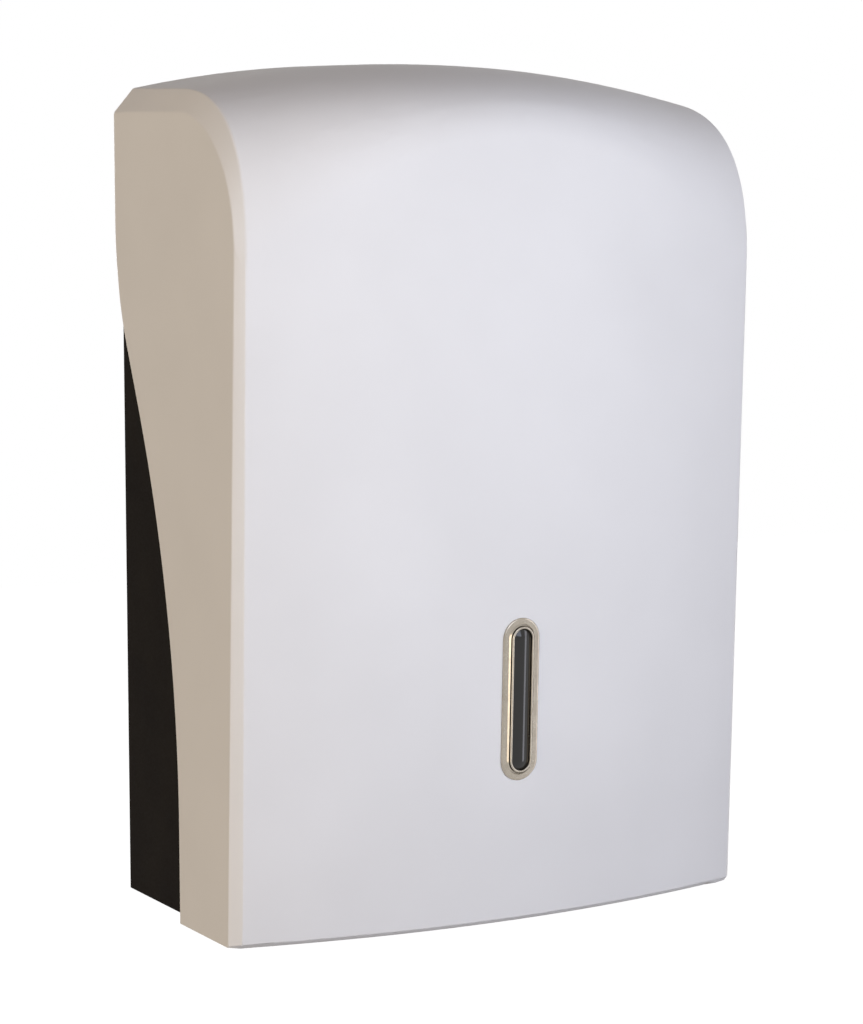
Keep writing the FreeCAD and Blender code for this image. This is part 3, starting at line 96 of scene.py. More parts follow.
def add(tree, kind, sockets, **settings):
    """Adds a node; sockets maps an input to a plain value, to an output or to a node's first output."""
    node = tree.nodes.new(kind)
    for name, value in settings.items():
        setattr(node, name, value)
    for socket, value in sockets.items():
        if isinstance(value, bpy.types.Node):
            value = value.outputs[0]
        if isinstance(value, bpy.types.NodeSocket):
            tree.links.new(value, node.inputs[socket])
        else:
            node.inputs[socket].default_value = value
    return node


def new_material(name, **constants):
    """A material with its shader, its output and object coordinates; constants hold all over it."""
    material = bpy.data.materials.new(name)
    material.use_nodes = True
    tree = material.node_tree
    tree.nodes.clear()
    shader = add(tree, "ShaderNodeBsdfPrincipled", {})
    for word, value in constants.items():
        shader.inputs[word.replace("_", " ")].default_value = value
    add(tree, "ShaderNodeOutputMaterial", {"Surface": shader})
    place = add(tree, "ShaderNodeTexCoord", {}).outputs["Object"]
    return material, tree, shader, place


def skin(tree, shader, place, tones, grain_mm, depth_mm, roughness, drift_mm=None, pattern=None):
    """Surface shared by the finishes: a drift of tone, a fine grain, and gloss that follows the grain.

    The two tones drift with a noise drift_mm across, or with a pattern of the finish's own.
    """
    if pattern is None:
        pattern = add(tree, "ShaderNodeTexNoise", {"Vector": place, "Scale": 1 / (drift_mm * MM)})
    share = add(tree, "ShaderNodeMapRange",
                {"Value": pattern, "From Min": NOISE_LOW, "From Max": NOISE_HIGH})
    tone = add(tree, "ShaderNodeMix",
               {"Factor": share, FIRST_COLOUR: linear(tones[0]), SECOND_COLOUR: linear(tones[1])},
               data_type="RGBA")
    grain = add(tree, "ShaderNodeTexNoise",
                {"Vector": place, "Scale": 1 / (grain_mm * MM), "Detail": FINE_DETAIL})
    gloss = add(tree, "ShaderNodeMapRange",
                {"Value": grain, "From Min": NOISE_LOW, "From Max": NOISE_HIGH,
                 "To Min": roughness[0], "To Max": roughness[1]})
    relief = add(tree, "ShaderNodeBump", {"Height": grain, "Distance": depth_mm * MM})
    tree.links.new(tone.outputs[MIXED_COLOUR], shader.inputs["Base Color"])
    tree.links.new(gloss.outputs[0], shader.inputs["Roughness"])
    tree.links.new(relief.outputs[0], shader.inputs["Normal"])


# ---------------------------------------------------------------- materials

def white_abs_satin():
    """Injection-moulded white ABS from a spark-eroded tool.

    Gives a soft broad sheen with no sharp reflection, and a faint drift of tone where the melt
    flowed. The grain is drawn at 0.7 mm, coarser than the real one, so that it shows at all.
    """
    material, tree, shader, place = new_material("white_abs_satin", Specular_IOR_Level=0.12)
    skin(tree, shader, place, tones=("#e2e1e0", "#e6e5e4"), drift_mm=70.0,
         grain_mm=0.7, depth_mm=0.004, roughness=(0.42, 0.48))
    return material


def black_abs_textured():
    """Black ABS with an etched leather-fine texture.

    Gives a deep warm black that stays matt at the edges, with a broken, slightly uneven sheen.
    The texture is drawn at 1 mm, coarser than the real one, so that it shows.
    """
    material, tree, shader, place = new_material("black_abs_textured", Specular_IOR_Level=0.01)
    skin(tree, shader, place, tones=("#191512", "#1e1a16"), drift_mm=25.0,
         grain_mm=1.0, depth_mm=0.012, roughness=(0.46, 0.6))
    return material


def grey_abs_inner():
    """Grey ABS of the inner mouldings, with some regrind in it.

    Gives a plain dull grey with darker clouds of regrind and a fine tool texture, which is drawn
    at 0.8 mm, coarser than the real one, so that it shows.
    """
    material, tree, shader, place = new_material("grey_abs_inner", Specular_IOR_Level=0.3)
    skin(tree, shader, place, tones=("#8a8c8f", "#8f9194"), drift_mm=9.0,
         grain_mm=0.8, depth_mm=0.012, roughness=(0.45, 0.58))
    return material


def white_acetal():
    """Natural white acetal of the throat, moulded in a polished tool.

    Gives a slippery, slightly waxy and milky look that stands out from the satin parts.
    """
    material, tree, shader, place = new_material(
        "white_acetal", Specular_IOR_Level=0.45, Subsurface_Weight=0.15, Subsurface_Scale=0.002)
    skin(tree, shader, place, tones=("#dddcd8", "#e2e1dd"), drift_mm=30.0,
         grain_mm=4.5, depth_mm=0.006, roughness=(0.22, 0.3))
    return material


def satin_nickel_plate():
    """Satin nickel plated over moulded ABS.

    Gives a warm grey metal whose rounded edges catch the light in bright lines. Its matt grain is
    drawn at 1.2 mm, coarser than the real one, so that it shows.
    """
    material, tree, shader, place = new_material("satin_nickel_plate", Metallic=1.0)
    skin(tree, shader, place, tones=("#9f978b", "#a8a094"), drift_mm=6.0,
         grain_mm=1.2, depth_mm=0.004, roughness=(0.2, 0.28))
    return material


def smoked_acrylic():
    """Smoked acrylic of the level window, polished, over the dark inside of the housing.

    Gives a near-black face, partly the smoke's own tint and partly painted shade of the unlit inside,
    with a clear glossy reflection that runs along its crown.
    """
    material, tree, shader, place = new_material("smoked_acrylic", IOR=1.49)
    # Near-black tones: the smoke's tint plus painted shade of the unlit inside, which the opaque face
    # stands in for.
    skin(tree, shader, place, tones=("#0e0c0b", "#15120f"), drift_mm=12.0,
         grain_mm=3.0, depth_mm=0.004, roughness=(0.06, 0.1))
    return material


def zinc_plated_steel():
    """Steel with a clear-passivated zinc coat, on the screws and the lock nut.

    Gives a cool bright metal with a cloudy spangle and a hint of blue. The real crystals are too
    fine to show, so the spangle is drawn 0.9 mm across.
    """
    material, tree, shader, place = new_material("zinc_plated_steel", Metallic=1.0)
    spangle = add(tree, "ShaderNodeTexVoronoi", {"Vector": place, "Scale": 1 / (0.9 * MM)})
    crystal = add(tree, "ShaderNodeSeparateColor", {"Color": spangle.outputs["Color"]})
    skin(tree, shader, place, tones=("#a3a8ad", "#bcc0c4"), pattern=crystal,
         grain_mm=0.6, depth_mm=0.004, roughness=(0.24, 0.4))
    return material


def rolled_steel():
    """Cold-rolled steel strip and pins, passivated.

    Gives a darker metal than the zinc, with fine lines along the rolling. The lines are drawn
    0.35 mm wide, coarser than the real ones, so that they show.
    """
    material, tree, shader, place = new_material("rolled_steel", Metallic=1.0)
    along = add(tree, "ShaderNodeMapping", {"Vector": place, "Scale": ROLLED_OUT})
    skin(tree, shader, along, tones=("#8e9092", "#a2a4a6"), drift_mm=0.9,
         grain_mm=0.35, depth_mm=0.006, roughness=(0.26, 0.4))
    return material


def chromed_die_casting():
    """Chromium plated over a die-cast zinc lock.

    Gives a hard bright mirror, broken only by the slight waviness of the casting.
    """
    material, tree, shader, place = new_material("chromed_die_casting", Metallic=1.0)
    skin(tree, shader, place, tones=("#c9ccd0", "#d6d8db"), drift_mm=10.0,
         grain_mm=3.5, depth_mm=0.008, roughness=(0.07, 0.14))
    return material


# By material slot, and one more for the throat, which is in the slot of the inner mouldings.
FINISHES = {
    "cover_white": white_abs_satin(),
    "chassis_black": black_abs_textured(),
    "inner_grey": grey_abs_inner(),
    "throat_white": white_acetal(),
    "bezel_plated": satin_nickel_plate(),
    "lens_smoked": smoked_acrylic(),
    "screw_steel": zinc_plated_steel(),
    "keeper_steel": rolled_steel(),
    "lock_chrome": chromed_die_casting(),
}


# ---------------------------------------------------------------- modelling helpers

WELD = 0.002 * MM                # vertices of a CAD mesh closer than this are the same point
DRAWN_WELD = 0.0005 * MM         # and those of an outline that is drawn here
FLAT = math.radians(0.2)         # faces that turn by less are one flat
SHARP = math.radians(22)         # edges that turn by more are rounded
CREASE = math.radians(30)        # edges that turn by more are shaded as edges
ROUND_STEPS = 3                  # faces across a rounded edge
LEVEL_SLACK = 0.1 * MM           # points within this of a height are at it
SLOPING = 0.6                    # a face whose normal has this much Z isn't an upright wall


def deselect():
    bpy.ops.object.select_all(action="DESELECT")


def activate(piece):
    deselect()
    bpy.context.view_layer.objects.active = piece
    piece.select_set(True)


def edit(piece):
    """Enters edit mode on one piece with all of it selected."""
    activate(piece)
    bpy.ops.object.mode_set(mode="EDIT")
    bpy.ops.mesh.select_mode(type="VERT")
    bpy.ops.mesh.select_all(action="SELECT")


def leave():
    bpy.ops.object.mode_set(mode="OBJECT")


def pick(piece, test):
    """In edit mode, selects only the vertices whose place passes a test."""
    bpy.ops.mesh.select_all(action="DESELECT")
    leave()
    for vertex in piece.data.vertices:
        vertex.select = test(vertex.co)
    bpy.ops.object.mode_set(mode="EDIT")


def pick_edges(piece, test):
    """In edit mode, selects the edges whose two faces and middle pass a test."""
    bpy.ops.mesh.select_all(action="DESELECT")
    leave()
    sides = {}
    for face in piece.data.polygons:
        for key in face.edge_keys:
            sides.setdefault(key, []).append(face)
    for edge in piece.data.edges:
        middle = sum((piece.data.vertices[end].co for end in edge.vertices), Vector()) / 2
        edge.select = test(*sides[edge.key], middle)
    bpy.ops.object.mode_set(mode="EDIT")
    bpy.ops.mesh.select_mode(type="EDGE")


def bevel_edges(piece, test, edge_mm, steps=ROUND_STEPS):
    """In edit mode, rounds the edges whose two faces and middle pass a test."""
    pick_edges(piece, test)
    bpy.ops.mesh.bevel(offset=edge_mm * MM, segments=steps, affect="EDGES", clamp_overlap=False)


def apply_modifier(piece, kind, **settings):
    modifier = piece.modifiers.new(kind.lower(), kind)
    for word, value in settings.items():
        setattr(modifier, word, value)
    activate(piece)
    bpy.ops.object.modifier_apply(modifier=modifier.name)


def cut(piece, cutter, operation="DIFFERENCE"):
    """Cuts, or joins with, another piece, which is then gone."""
    apply_modifier(piece, "BOOLEAN", operation=operation, object=cutter, solver="EXACT")
    bpy.data.objects.remove(cutter)


def settle(piece, place):
    """Puts a piece drawn about the origin in its place, which goes into its mesh."""
    activate(piece)
    piece.matrix_world = place
    bpy.ops.object.transform_apply(location=True, rotation=True, scale=True)


def duplicate(piece, name):
    twin = piece.copy()
    twin.data = piece.data.copy()
    twin.name = twin.data.name = name
    twin.parent = None
    bpy.context.scene.collection.objects.link(twin)
    return twin


def complete(piece, body, slot, node, finish=None):
    """Shades a piece, gives it its finish, chosen by its slot unless one is named, and its body, and
    puts it in place of its CAD node.
    """
    activate(piece)
    bpy.ops.object.shade_smooth_by_angle(angle=CREASE)
    apply_modifier(piece, "WEIGHTED_NORMAL", mode="FACE_AREA_WITH_ANGLE", keep_sharp=True)
    piece.data.materials.clear()
    piece.data.materials.append(FINISHES[finish or slot])
    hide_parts(node)
    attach(piece, body)
    deselect()


def welded(node, name, sliver=WELD):
    """A copy of a CAD node: its loose triangles joined, its slivers closed, each flat one face."""
    piece = duplicate(NODES[node], name)
    edit(piece)
    bpy.ops.mesh.remove_doubles(threshold=WELD)
    bpy.ops.mesh.remove_doubles(threshold=sliver)
    bpy.ops.mesh.dissolve_limited(angle_limit=FLAT)
    leave()
    bpy.ops.mesh.customdata_custom_splitnormals_clear()
    return piece


def round_over(piece, edge_mm):
    """Rounds every edge that turns by more than SHARP."""
    apply_modifier(piece, "BEVEL", width=edge_mm * MM, segments=ROUND_STEPS, limit_method="ANGLE",
                   angle_limit=SHARP, use_clamp_overlap=False)


def loose_boxes(node):
    """The boxes, in metres, of the separate solids in a CAD node, such as its four screws."""
    before = set(bpy.data.objects)
    piece = welded(node, "to_measure")
    edit(piece)
    bpy.ops.mesh.separate(type="LOOSE")
    leave()
    boxes = []
    for part in set(bpy.data.objects) - before:
        places = [vertex.co for vertex in part.data.vertices]
        boxes.append((Vector(min(place[axis] for place in places) for axis in range(3)),
                      Vector(max(place[axis] for place in places) for axis in range(3))))
        bpy.data.objects.remove(part)
    tenth_of_mm = 4
    return sorted(boxes, key=lambda box: tuple(round(corner, tenth_of_mm) for corner in box[0]))


def turned(name, stations, steps=32):
    """Spins an outline of (radius, height) stations, in millimetres, about the Z axis.

    An outline that starts on the axis ends there too; any other is closed back to its start.
    """
    deselect()
    radius, height = stations[0]
    bpy.ops.mesh.primitive_plane_add(size=MM, location=(radius * MM, 0.0, height * MM))
    piece = bpy.context.object
    piece.name = piece.data.name = name
    settle(piece, piece.matrix_world.copy())
    edit(piece)
    bpy.ops.mesh.merge(type="CENTER")
    closing = stations[:1] if radius > 0 else []
    for next_radius, next_height in stations[1:] + closing:
        step = ((next_radius - radius) * MM, 0.0, (next_height - height) * MM)
        bpy.ops.mesh.extrude_region_move(TRANSFORM_OT_translate={"value": step})
        radius, height = next_radius, next_height
    bpy.ops.mesh.select_all(action="SELECT")
    bpy.ops.mesh.remove_doubles(threshold=DRAWN_WELD)
    bpy.ops.mesh.spin(steps=steps, angle=math.tau, center=(0.0, 0.0, 0.0), axis=(0.0, 0.0, 1.0))
    bpy.ops.mesh.select_all(action="SELECT")
    bpy.ops.mesh.remove_doubles(threshold=DRAWN_WELD)
    bpy.ops.mesh.normals_make_consistent(inside=False)
    leave()
    return piece


def oblong(name, stations, reach_mm, steps=48):
    """A turned piece whose two halves are drawn apart along Y, reach_mm each way."""
    piece = turned(name, stations, steps)
    reach = reach_mm * MM
    edit(piece)
    bpy.ops.mesh.bisect(plane_co=(0.0, 0.0, 0.0), plane_no=(0.0, 1.0, 0.0), clear_inner=True)
    bpy.ops.mesh.select_all(action="SELECT")
    bpy.ops.transform.translate(value=(0.0, reach, 0.0))
    pick(piece, lambda place: abs(place.y - reach) < WELD)
    bpy.ops.mesh.extrude_region_move(TRANSFORM_OT_translate={"value": (0.0, -reach, 0.0)})
    leave()
    apply_modifier(piece, "MIRROR", use_axis=(False, True, False), merge_threshold=WELD)
    edit(piece)
    bpy.ops.mesh.normals_make_consistent(inside=False)
    leave()
    return piece


def block(name, size_mm, place_mm):
    """A block, of a size about a place, to cut with or to join on."""
    deselect()
    bpy.ops.mesh.primitive_cube_add(size=1.0, location=Vector(place_mm) * MM)
    piece = bpy.context.object
    piece.name = name
    piece.dimensions = Vector(size_mm) * MM
    settle(piece, Matrix.LocRotScale(piece.location, None, piece.scale))
    return piece


def facing(direction):
    """The turn that takes +Z to a direction."""
    return Vector(direction).to_track_quat("Z", "Y").to_matrix().to_4x4()


# ---------------------------------------------------------------- the white cover

STRIP_EDGE = 0.8       # rounding along the bevelled strips of the cover, mm
STRIP_STEPS = 4
STRIP_TURN = math.radians(60)          # edges that turn by less are a strip's, by more a rim's
RIM_EDGE = 0.4         # rounding round the rim that meets the chassis, mm
RIM_DEPTH = 3.0        # how far that rim reaches forward of the wall, mm
FOOT_BEVEL = 1.2       # bevel round the foot as it leaves the CAD, mm
LIP_RISE = 1.0         # by how much that bevel is made higher under the front, mm
LIP_DEPTH = 1.1        # and by how much deeper, mm
LIP_REACH = 123.0      # half its length, short of the strips, mm
LIP_EDGE = 0.35        # rounding of its two edges, mm
LIP_STEPS = 2
LIP_FRONT = -0.1       # the lip lies forward of here
SLIVER = 0.1 * MM      # shortest edge left in the cover before its edges are rounded

SQUARE_ON = -0.95      # a face looks straight ahead if its normal's Y is below this
AHEAD = -0.5           # and roughly ahead if it is below this
SIDEWAYS = 0.3         # an X of a normal from which a face is a side's or a strip's

HUB = (CAD_BOX[0] + CAD_BOX[1]) / 2    # the cover's outer faces look away from here
FOOT = CAD_BOX[0][2]
BEVEL_TOP = FOOT + FOOT_BEVEL * MM
LIP_TOP = BEVEL_TOP + LIP_RISE * MM


def is_outer(face):
    return face.normal.dot(face.center - HUB) > 0


def on_strip(one, other, middle):
    """The long edges of the strips, up both corners and over the roof."""
    turn = one.normal.angle(other.normal)
    on_wall = max(abs(one.normal.z), abs(other.normal.z)) < SLOPING
    in_upper_half = middle.z > 0
    return (is_outer(one) and is_outer(other) and SHARP < turn < STRIP_TURN
            and (on_wall or in_upper_half) and middle.z > LIP_TOP)


def on_rim(one, other, middle):
    """The edges of the rear rim, which meets the chassis."""
    return ((is_outer(one) or is_outer(other)) and one.normal.angle(other.normal) > STRIP_TURN
            and middle.z > LIP_TOP and middle.y > CAD_BOX[1][1] - RIM_DEPTH * MM)


def on_lip(one, other, middle):
    """The two edges of the lip under the front."""
    return (is_outer(one) and is_outer(other) and one.normal.angle(other.normal) > SHARP
            and middle.z < LIP_TOP + LEVEL_SLACK and min(one.normal.y, other.normal.y) < AHEAD
            and abs(middle.x) < LIP_REACH * MM and abs(one.normal.x) < SIDEWAYS)


def deepen_lip(cover):
    """Makes the foot's bevel higher and deeper under the front."""
    ends = {end for face in cover.data.polygons
            if is_outer(face) and face.normal.y < SQUARE_ON for end in face.vertices}
    upper = [cover.data.vertices[end].co.copy() for end in ends
             if abs(cover.data.vertices[end].co.z - BEVEL_TOP) < LEVEL_SLACK]

    def across_bevel(place, high):
        inward = place.y - high.y
        return abs(place.x - high.x) < MM and abs(inward - FOOT_BEVEL * MM) < FOOT_BEVEL * MM / 2

    edit(cover)
    pick(cover, lambda place: any((place - high).length < WELD for high in upper))
    bpy.ops.transform.translate(value=(0.0, 0.0, LIP_RISE * MM))
    pick(cover, lambda place: abs(place.z - FOOT) < WELD
         and any(across_bevel(place, high) for high in upper))
    bpy.ops.transform.translate(value=(0.0, LIP_DEPTH * MM, 0.0))
    pick(cover, lambda place: FOOT + WELD < place.z < BEVEL_TOP - WELD and place.y < LIP_FRONT)
    bpy.ops.transform.translate(value=(0.0, LIP_DEPTH * MM / 2, LIP_RISE * MM / 2))
    leave()


def make_cover():
    """The moulded cover: a lip under its front, soft strip edges and a fine rear rim."""
    cover = welded("front_cover", "front_cover_form", SLIVER)
    deepen_lip(cover)
    edit(cover)
    bevel_edges(cover, on_lip, LIP_EDGE, LIP_STEPS)
    bevel_edges(cover, on_strip, STRIP_EDGE, STRIP_STEPS)
    bevel_edges(cover, on_rim, RIM_EDGE)
    leave()
    complete(cover, "cover", "cover_white", "front_cover")


# ---------------------------------------------------------------- other mouldings and pressings

ARM_EDGE = 0.5         # rounding on the hinge arms, mm
ARM_PLATE = 3.0        # thickness of an arm's foot plate, mm
MOULDINGS = (          # node, body, slot, finish and rounding in mm
    ("back_chassis", "chassis", "chassis_black", "chassis_black", 0.6),
    ("towel_tray", "chassis", "inner_grey", "inner_grey", 0.4),
    ("throat_insert", "chassis", "inner_grey", "throat_white", 0.4),
    ("left_towel_guide", "chassis", "inner_grey", "inner_grey", 0.4),
    ("right_towel_guide", "chassis", "inner_grey", "inner_grey", 0.4),
    ("window_retainer", "cover", "chassis_black", "chassis_black", 0.2),
    ("lock_keeper", "chassis", "keeper_steel", "keeper_steel", 0.3),
    ("lock_cam", "lock", "keeper_steel", "keeper_steel", 0.3),
)


def make_arm(node):
    """A hinge arm: rounded, but for the inner corners where bosses stand on the foot plate."""
    arm = welded(node, node + "_form")
    plate_face = min(vertex.co.y for vertex in arm.data.vertices) + ARM_PLATE * MM
    edit(arm)
    bevel_edges(arm, lambda one, other, middle: one.normal.angle(other.normal) > STRIP_TURN
                and abs(middle.y - plate_face) > WELD, ARM_EDGE)
    leave()
    complete(arm, "cover", "inner_grey", node)


def make_mouldings():
    """CAD forms with their edges rounded as a tool leaves them."""
    for node, body, slot, finish, edge_mm in MOULDINGS:
        piece = welded(node, node + "_form")
        round_over(piece, edge_mm)
        complete(piece, body, slot, node, finish)


# ---------------------------------------------------------------- level window

WINDOW_LEAN = math.radians(2.13)                      # the cover's front leans out towards its top
WINDOW_SEAT = Vector((0.0, -151.21, -104.5)) * MM     # middle of the window on the cover's face
WINDOW_REACH = 29.8                                   # half the straight stretch of the oblong, mm

# Half-width and height above the cover's face, mm.
BEZEL = [
    (5.0, -1.0), (5.0, 2.0), (5.04, 2.25), (5.15, 2.42), (5.35, 2.5),     # inner lip of the ring
    (5.75, 2.5), (5.95, 2.42), (6.07, 2.25), (6.12, 2.0),                 # crown of the ring
    (6.15, 0.6), (6.2, 0.5), (6.42, 0.5), (6.47, 0.6),                    # groove round the ring
    (6.5, 1.6), (6.54, 1.76), (6.6, 1.8), (6.66, 1.76), (6.7, 1.7),       # bead round the groove
    (7.24, 0.98), (7.3, 0.92), (7.4, 0.9), (9.2, 0.9), (9.35, 0.9),       # its slope and the flange
    (9.7, 0.86), (10.0, 0.72), (10.17, 0.52), (10.2, 0.35),               # rounded rim
    (10.1, 0.15), (9.9, 0.0),                                             # undercut on the cover
    (7.2, 0.0), (7.2, -5.4), (5.45, -5.4), (5.45, -1.0)]                  # plug through the cover
LENS = [
    (0.0, 2.3), (1.0, 2.25), (2.0, 2.09), (3.0, 1.84), (3.9, 1.55),       # crowned face
    (4.45, 1.36), (4.8, 1.2), (4.95, 0.95), (4.95, -1.0),                 # its rounded edge
    (5.3, -1.0), (5.3, -2.6), (0.0, -2.6)]                                # lip behind the ring


def make_window():
    """The plated bezel and the crowned lens in it, drawn flat and set on the leaning front."""
    place = Matrix.Translation(WINDOW_SEAT) @ Matrix.Rotation(math.pi / 2 + WINDOW_LEAN, 4, "X")
    for name, node, slot, outline in (
            ("window_bezel_ring", "window_bezel", "bezel_plated", BEZEL),
            ("window_lens_crown", "window_lens", "lens_smoked", LENS)):
        piece = oblong(name, outline, WINDOW_REACH)
        settle(piece, place)
        complete(piece, "cover", slot, node)


# ---------------------------------------------------------------- screws and pins

# Lengths of a screw and a pin are in millimetres.
HEAD_HEIGHT = 2.2      # pan head
HEAD_EDGE = 0.15       # bevel under its rim
HEAD_DOME = [(1.0, 0.9), (0.96, 1.35), (0.86, 1.75), (0.68, 2.05), (0.45, 2.17)]  # radii in shares
PLAIN_SHANK = 0.6      # above the thread
POINT_RADIUS = 0.6
POINT_LENGTH = 0.9
THREAD_PITCH = 1.2
THREAD_DEPTH = 0.3
THREAD_STOP = 0.8      # the last ridge ends at least this far below the seat
SHANK_RADIUS = 1.75
RECESS_ARM = 0.9       # width of one arm of the cross recess
RECESS_REACH = 1.6     # from the middle to the end of an arm
RECESS_DEPTH = 1.3
RECESS_TAPER = 0.55    # share of its width at the bottom of the recess
OVERSHOOT = 0.5        # how far a cutter stands out of what it cuts

SCREWS = (             # node, body, the way the heads point and their radius
    ("tray_screws", "chassis", Vector((0, 0, 1)), 3.4),
    ("guide_screws", "chassis", Vector((0, -1, 0)), 3.4),
    ("keeper_screws", "chassis", Vector((0, -1, 0)), 3.4),
    ("hinge_arm_screws", "cover", Vector((0, 1, 0)), 3.4),
    ("cam_screw", "lock", Vector((0, 0, -1)), 5.2),
)

PIN_RADIUS = 2.5
PIN_HEAD = 1.7
PIN_TIP = [(0.0, 0.0), (1.9, 0.0), (2.35, 0.25), (PIN_RADIUS, 0.7)]
PIN_DOME = [(4.35, 0.0), (4.5, 0.15), (4.5, 0.7), (4.35, 1.15), (3.9, 1.45), (2.8, 1.64)]
PIN_STEPS = 40


def cross_cutter(top):
    """A plus-shaped punch that narrows downwards, its upper end just above the head."""
    deselect()
    height = RECESS_DEPTH + OVERSHOOT
    middle = (0.0, 0.0, (top + OVERSHOOT - height / 2) * MM)
    bpy.ops.mesh.primitive_cube_add(size=MM, location=middle)
    punch = bpy.context.object
    settle(punch, Matrix.Translation(middle))
    edit(punch)
    bpy.ops.transform.resize(value=(RECESS_ARM, RECESS_ARM, height), center_override=middle)
    leave()
    for face in punch.data.polygons:
        face.select = abs(face.normal.z) < SLOPING
    bpy.ops.object.mode_set(mode="EDIT")
    bpy.ops.mesh.select_mode(type="FACE")
    bpy.ops.mesh.extrude_faces_move(
        TRANSFORM_OT_shrink_fatten={"value": (RECESS_REACH - RECESS_ARM / 2) * MM})
    bpy.ops.mesh.select_mode(type="VERT")
    low = (top - RECESS_DEPTH) * MM + LEVEL_SLACK
    pick(punch, lambda place: place.z < low)
    bpy.ops.transform.resize(value=(RECESS_TAPER, RECESS_TAPER, 1.0), center_override=(0.0, 0.0, low))
    leave()
    return punch


def pan_screw(name, head_radius, shank_mm):
    """A pan-head screw about Z, its seat at zero, with thread ridges and a cross recess."""
    root = SHANK_RADIUS - THREAD_DEPTH
    level = POINT_LENGTH - shank_mm
    outline = [(0.0, -shank_mm), (POINT_RADIUS, -shank_mm), (root, level)]
    while level + THREAD_PITCH < -THREAD_STOP:
        outline += [(SHANK_RADIUS, level + THREAD_PITCH / 2), (root, level + THREAD_PITCH)]
        level += THREAD_PITCH
    outline += [(SHANK_RADIUS, -PLAIN_SHANK), (SHANK_RADIUS, 0.0),
                (head_radius - HEAD_EDGE, 0.0), (head_radius, HEAD_EDGE)]
    outline += [(head_radius * share, height) for share, height in HEAD_DOME]
    screw = turned(name, outline + [(0.0, HEAD_HEIGHT)])
    cut(screw, cross_cutter(HEAD_HEIGHT))
    return screw


def make_screws():
    """Each group is modelled once and copied to where the CAD has its screws."""
    for node, body, head_way, head_radius in SCREWS:
        boxes = loose_boxes(node)
        along = max(range(3), key=lambda axis: abs(head_way[axis]))
        low, high = boxes[0]
        shank_mm = (high[along] - low[along]) / MM - HEAD_HEIGHT
        pattern = pan_screw(node + "_pattern", head_radius, shank_mm)
        for number, (low, high) in enumerate(boxes, 1):
            seat = (low + high) / 2
            end = high[along] if head_way[along] > 0 else low[along]
            seat[along] = end - head_way[along] * HEAD_HEIGHT * MM
            screw = duplicate(pattern, "%s_%d" % (node, number))
            settle(screw, Matrix.Translation(seat) @ facing(head_way))
            complete(screw, body, "screw_steel", node)
        bpy.data.objects.remove(pattern)


def make_hinge_pins():
    """Stub pins: a rounded head inside the arm, a bevelled end in the chassis wall."""
    low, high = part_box("hinge_pin_left")
    length = (high.x - low.x) / MM - PIN_HEAD
    outline = [(radius, height - length) for radius, height in PIN_TIP]
    outline += [(PIN_RADIUS, 0.0)] + PIN_DOME + [(0.0, PIN_HEAD)]
    pattern = turned("hinge_pin_pattern", outline, PIN_STEPS)
    for node, way in (("hinge_pin_left", 1), ("hinge_pin_right", -1)):
        low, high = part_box(node)
        seat = (low + high) / 2
        seat.x = high.x - PIN_HEAD * MM if way > 0 else low.x + PIN_HEAD * MM
        pin = duplicate(pattern, node + "_form")
        settle(pin, Matrix.Translation(seat) @ facing((way, 0, 0)))
        complete(pin, "chassis", "keeper_steel", node)
    bpy.data.objects.remove(pattern)


# ---------------------------------------------------------------- roof lock

# Lengths of the lock are in millimetres.
LOCK_MIDDLE = Vector((0.0, -19.0, 0.0)) * MM
LOCK_STEPS = 64
LOCK_EDGE = 0.15       # bevel of the flange's edges
BARREL_RADIUS = 8.0
BARREL_ROOT = 7.65     # at the bottom of its thread
BARREL_END = 7.5       # at its foot, where the thread runs out
BARREL_PITCH = 1.0
BARREL_PLAIN = 0.6     # without thread, above the foot
BORE_RADIUS = 5.55     # the plug's body turns in this
SEAT_RADIUS = 7.05     # and its face in this
SEAT_DEPTH = 2.45
FLANGE_DEPTH = 2.0
FLANGE = [(9.2, 0.0), (9.7, 0.15), (9.93, 0.5), (10.0, 1.0), (10.0, FLANGE_DEPTH)]

PLUG_RADIUS = 5.5
PLUG_STEP = 2.3        # height of the tang below the body
FACE_RADIUS = 7.0
FACE_DEPTH = 2.0
FACE_RIM = [(FACE_RADIUS, 0.4), (6.88, 0.12), (6.6, 0.0), (5.6, 0.0), (5.3, 0.25), (0.0, 0.25)]
KEYWAY_LENGTH = 9.0
KEYWAY_WIDTH = 1.6
KEYWAY_DEPTH = 7.0
TANG = 7.0             # across the square that carries the cam
TANG_LENGTH = 4.0

NUT_CHAMFER = 0.8      # height of the cone at its corners
NUT_MARGIN = 0.1       # by which the cone goes past them
NUT_BORE = 8.05


def make_lock_body():
    """The barrel: a polished flange on the roof and a coarse thread below it for the nut."""
    low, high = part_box("lock_body")
    top, foot = high.z / MM, low.z / MM
    under = top - FLANGE_DEPTH
    level = under - BARREL_PITCH
    outline = [(SEAT_RADIUS, top - LOCK_EDGE), (SEAT_RADIUS + LOCK_EDGE, top)]
    outline += [(radius, top - depth) for radius, depth in FLANGE]
    outline += [(BARREL_RADIUS, under), (BARREL_RADIUS, level)]
    while level - BARREL_PITCH > foot + BARREL_PLAIN:
        outline += [(BARREL_ROOT, level - BARREL_PITCH / 2), (BARREL_RADIUS, level - BARREL_PITCH)]
        level -= BARREL_PITCH
    outline += [(BARREL_END, foot), (BORE_RADIUS, foot),
                (BORE_RADIUS, top - SEAT_DEPTH), (SEAT_RADIUS, top - SEAT_DEPTH)]
    barrel = turned("lock_body_form", outline, LOCK_STEPS)
    settle(barrel, Matrix.Translation(LOCK_MIDDLE))
    complete(barrel, "cover", "lock_chrome", "lock_body")


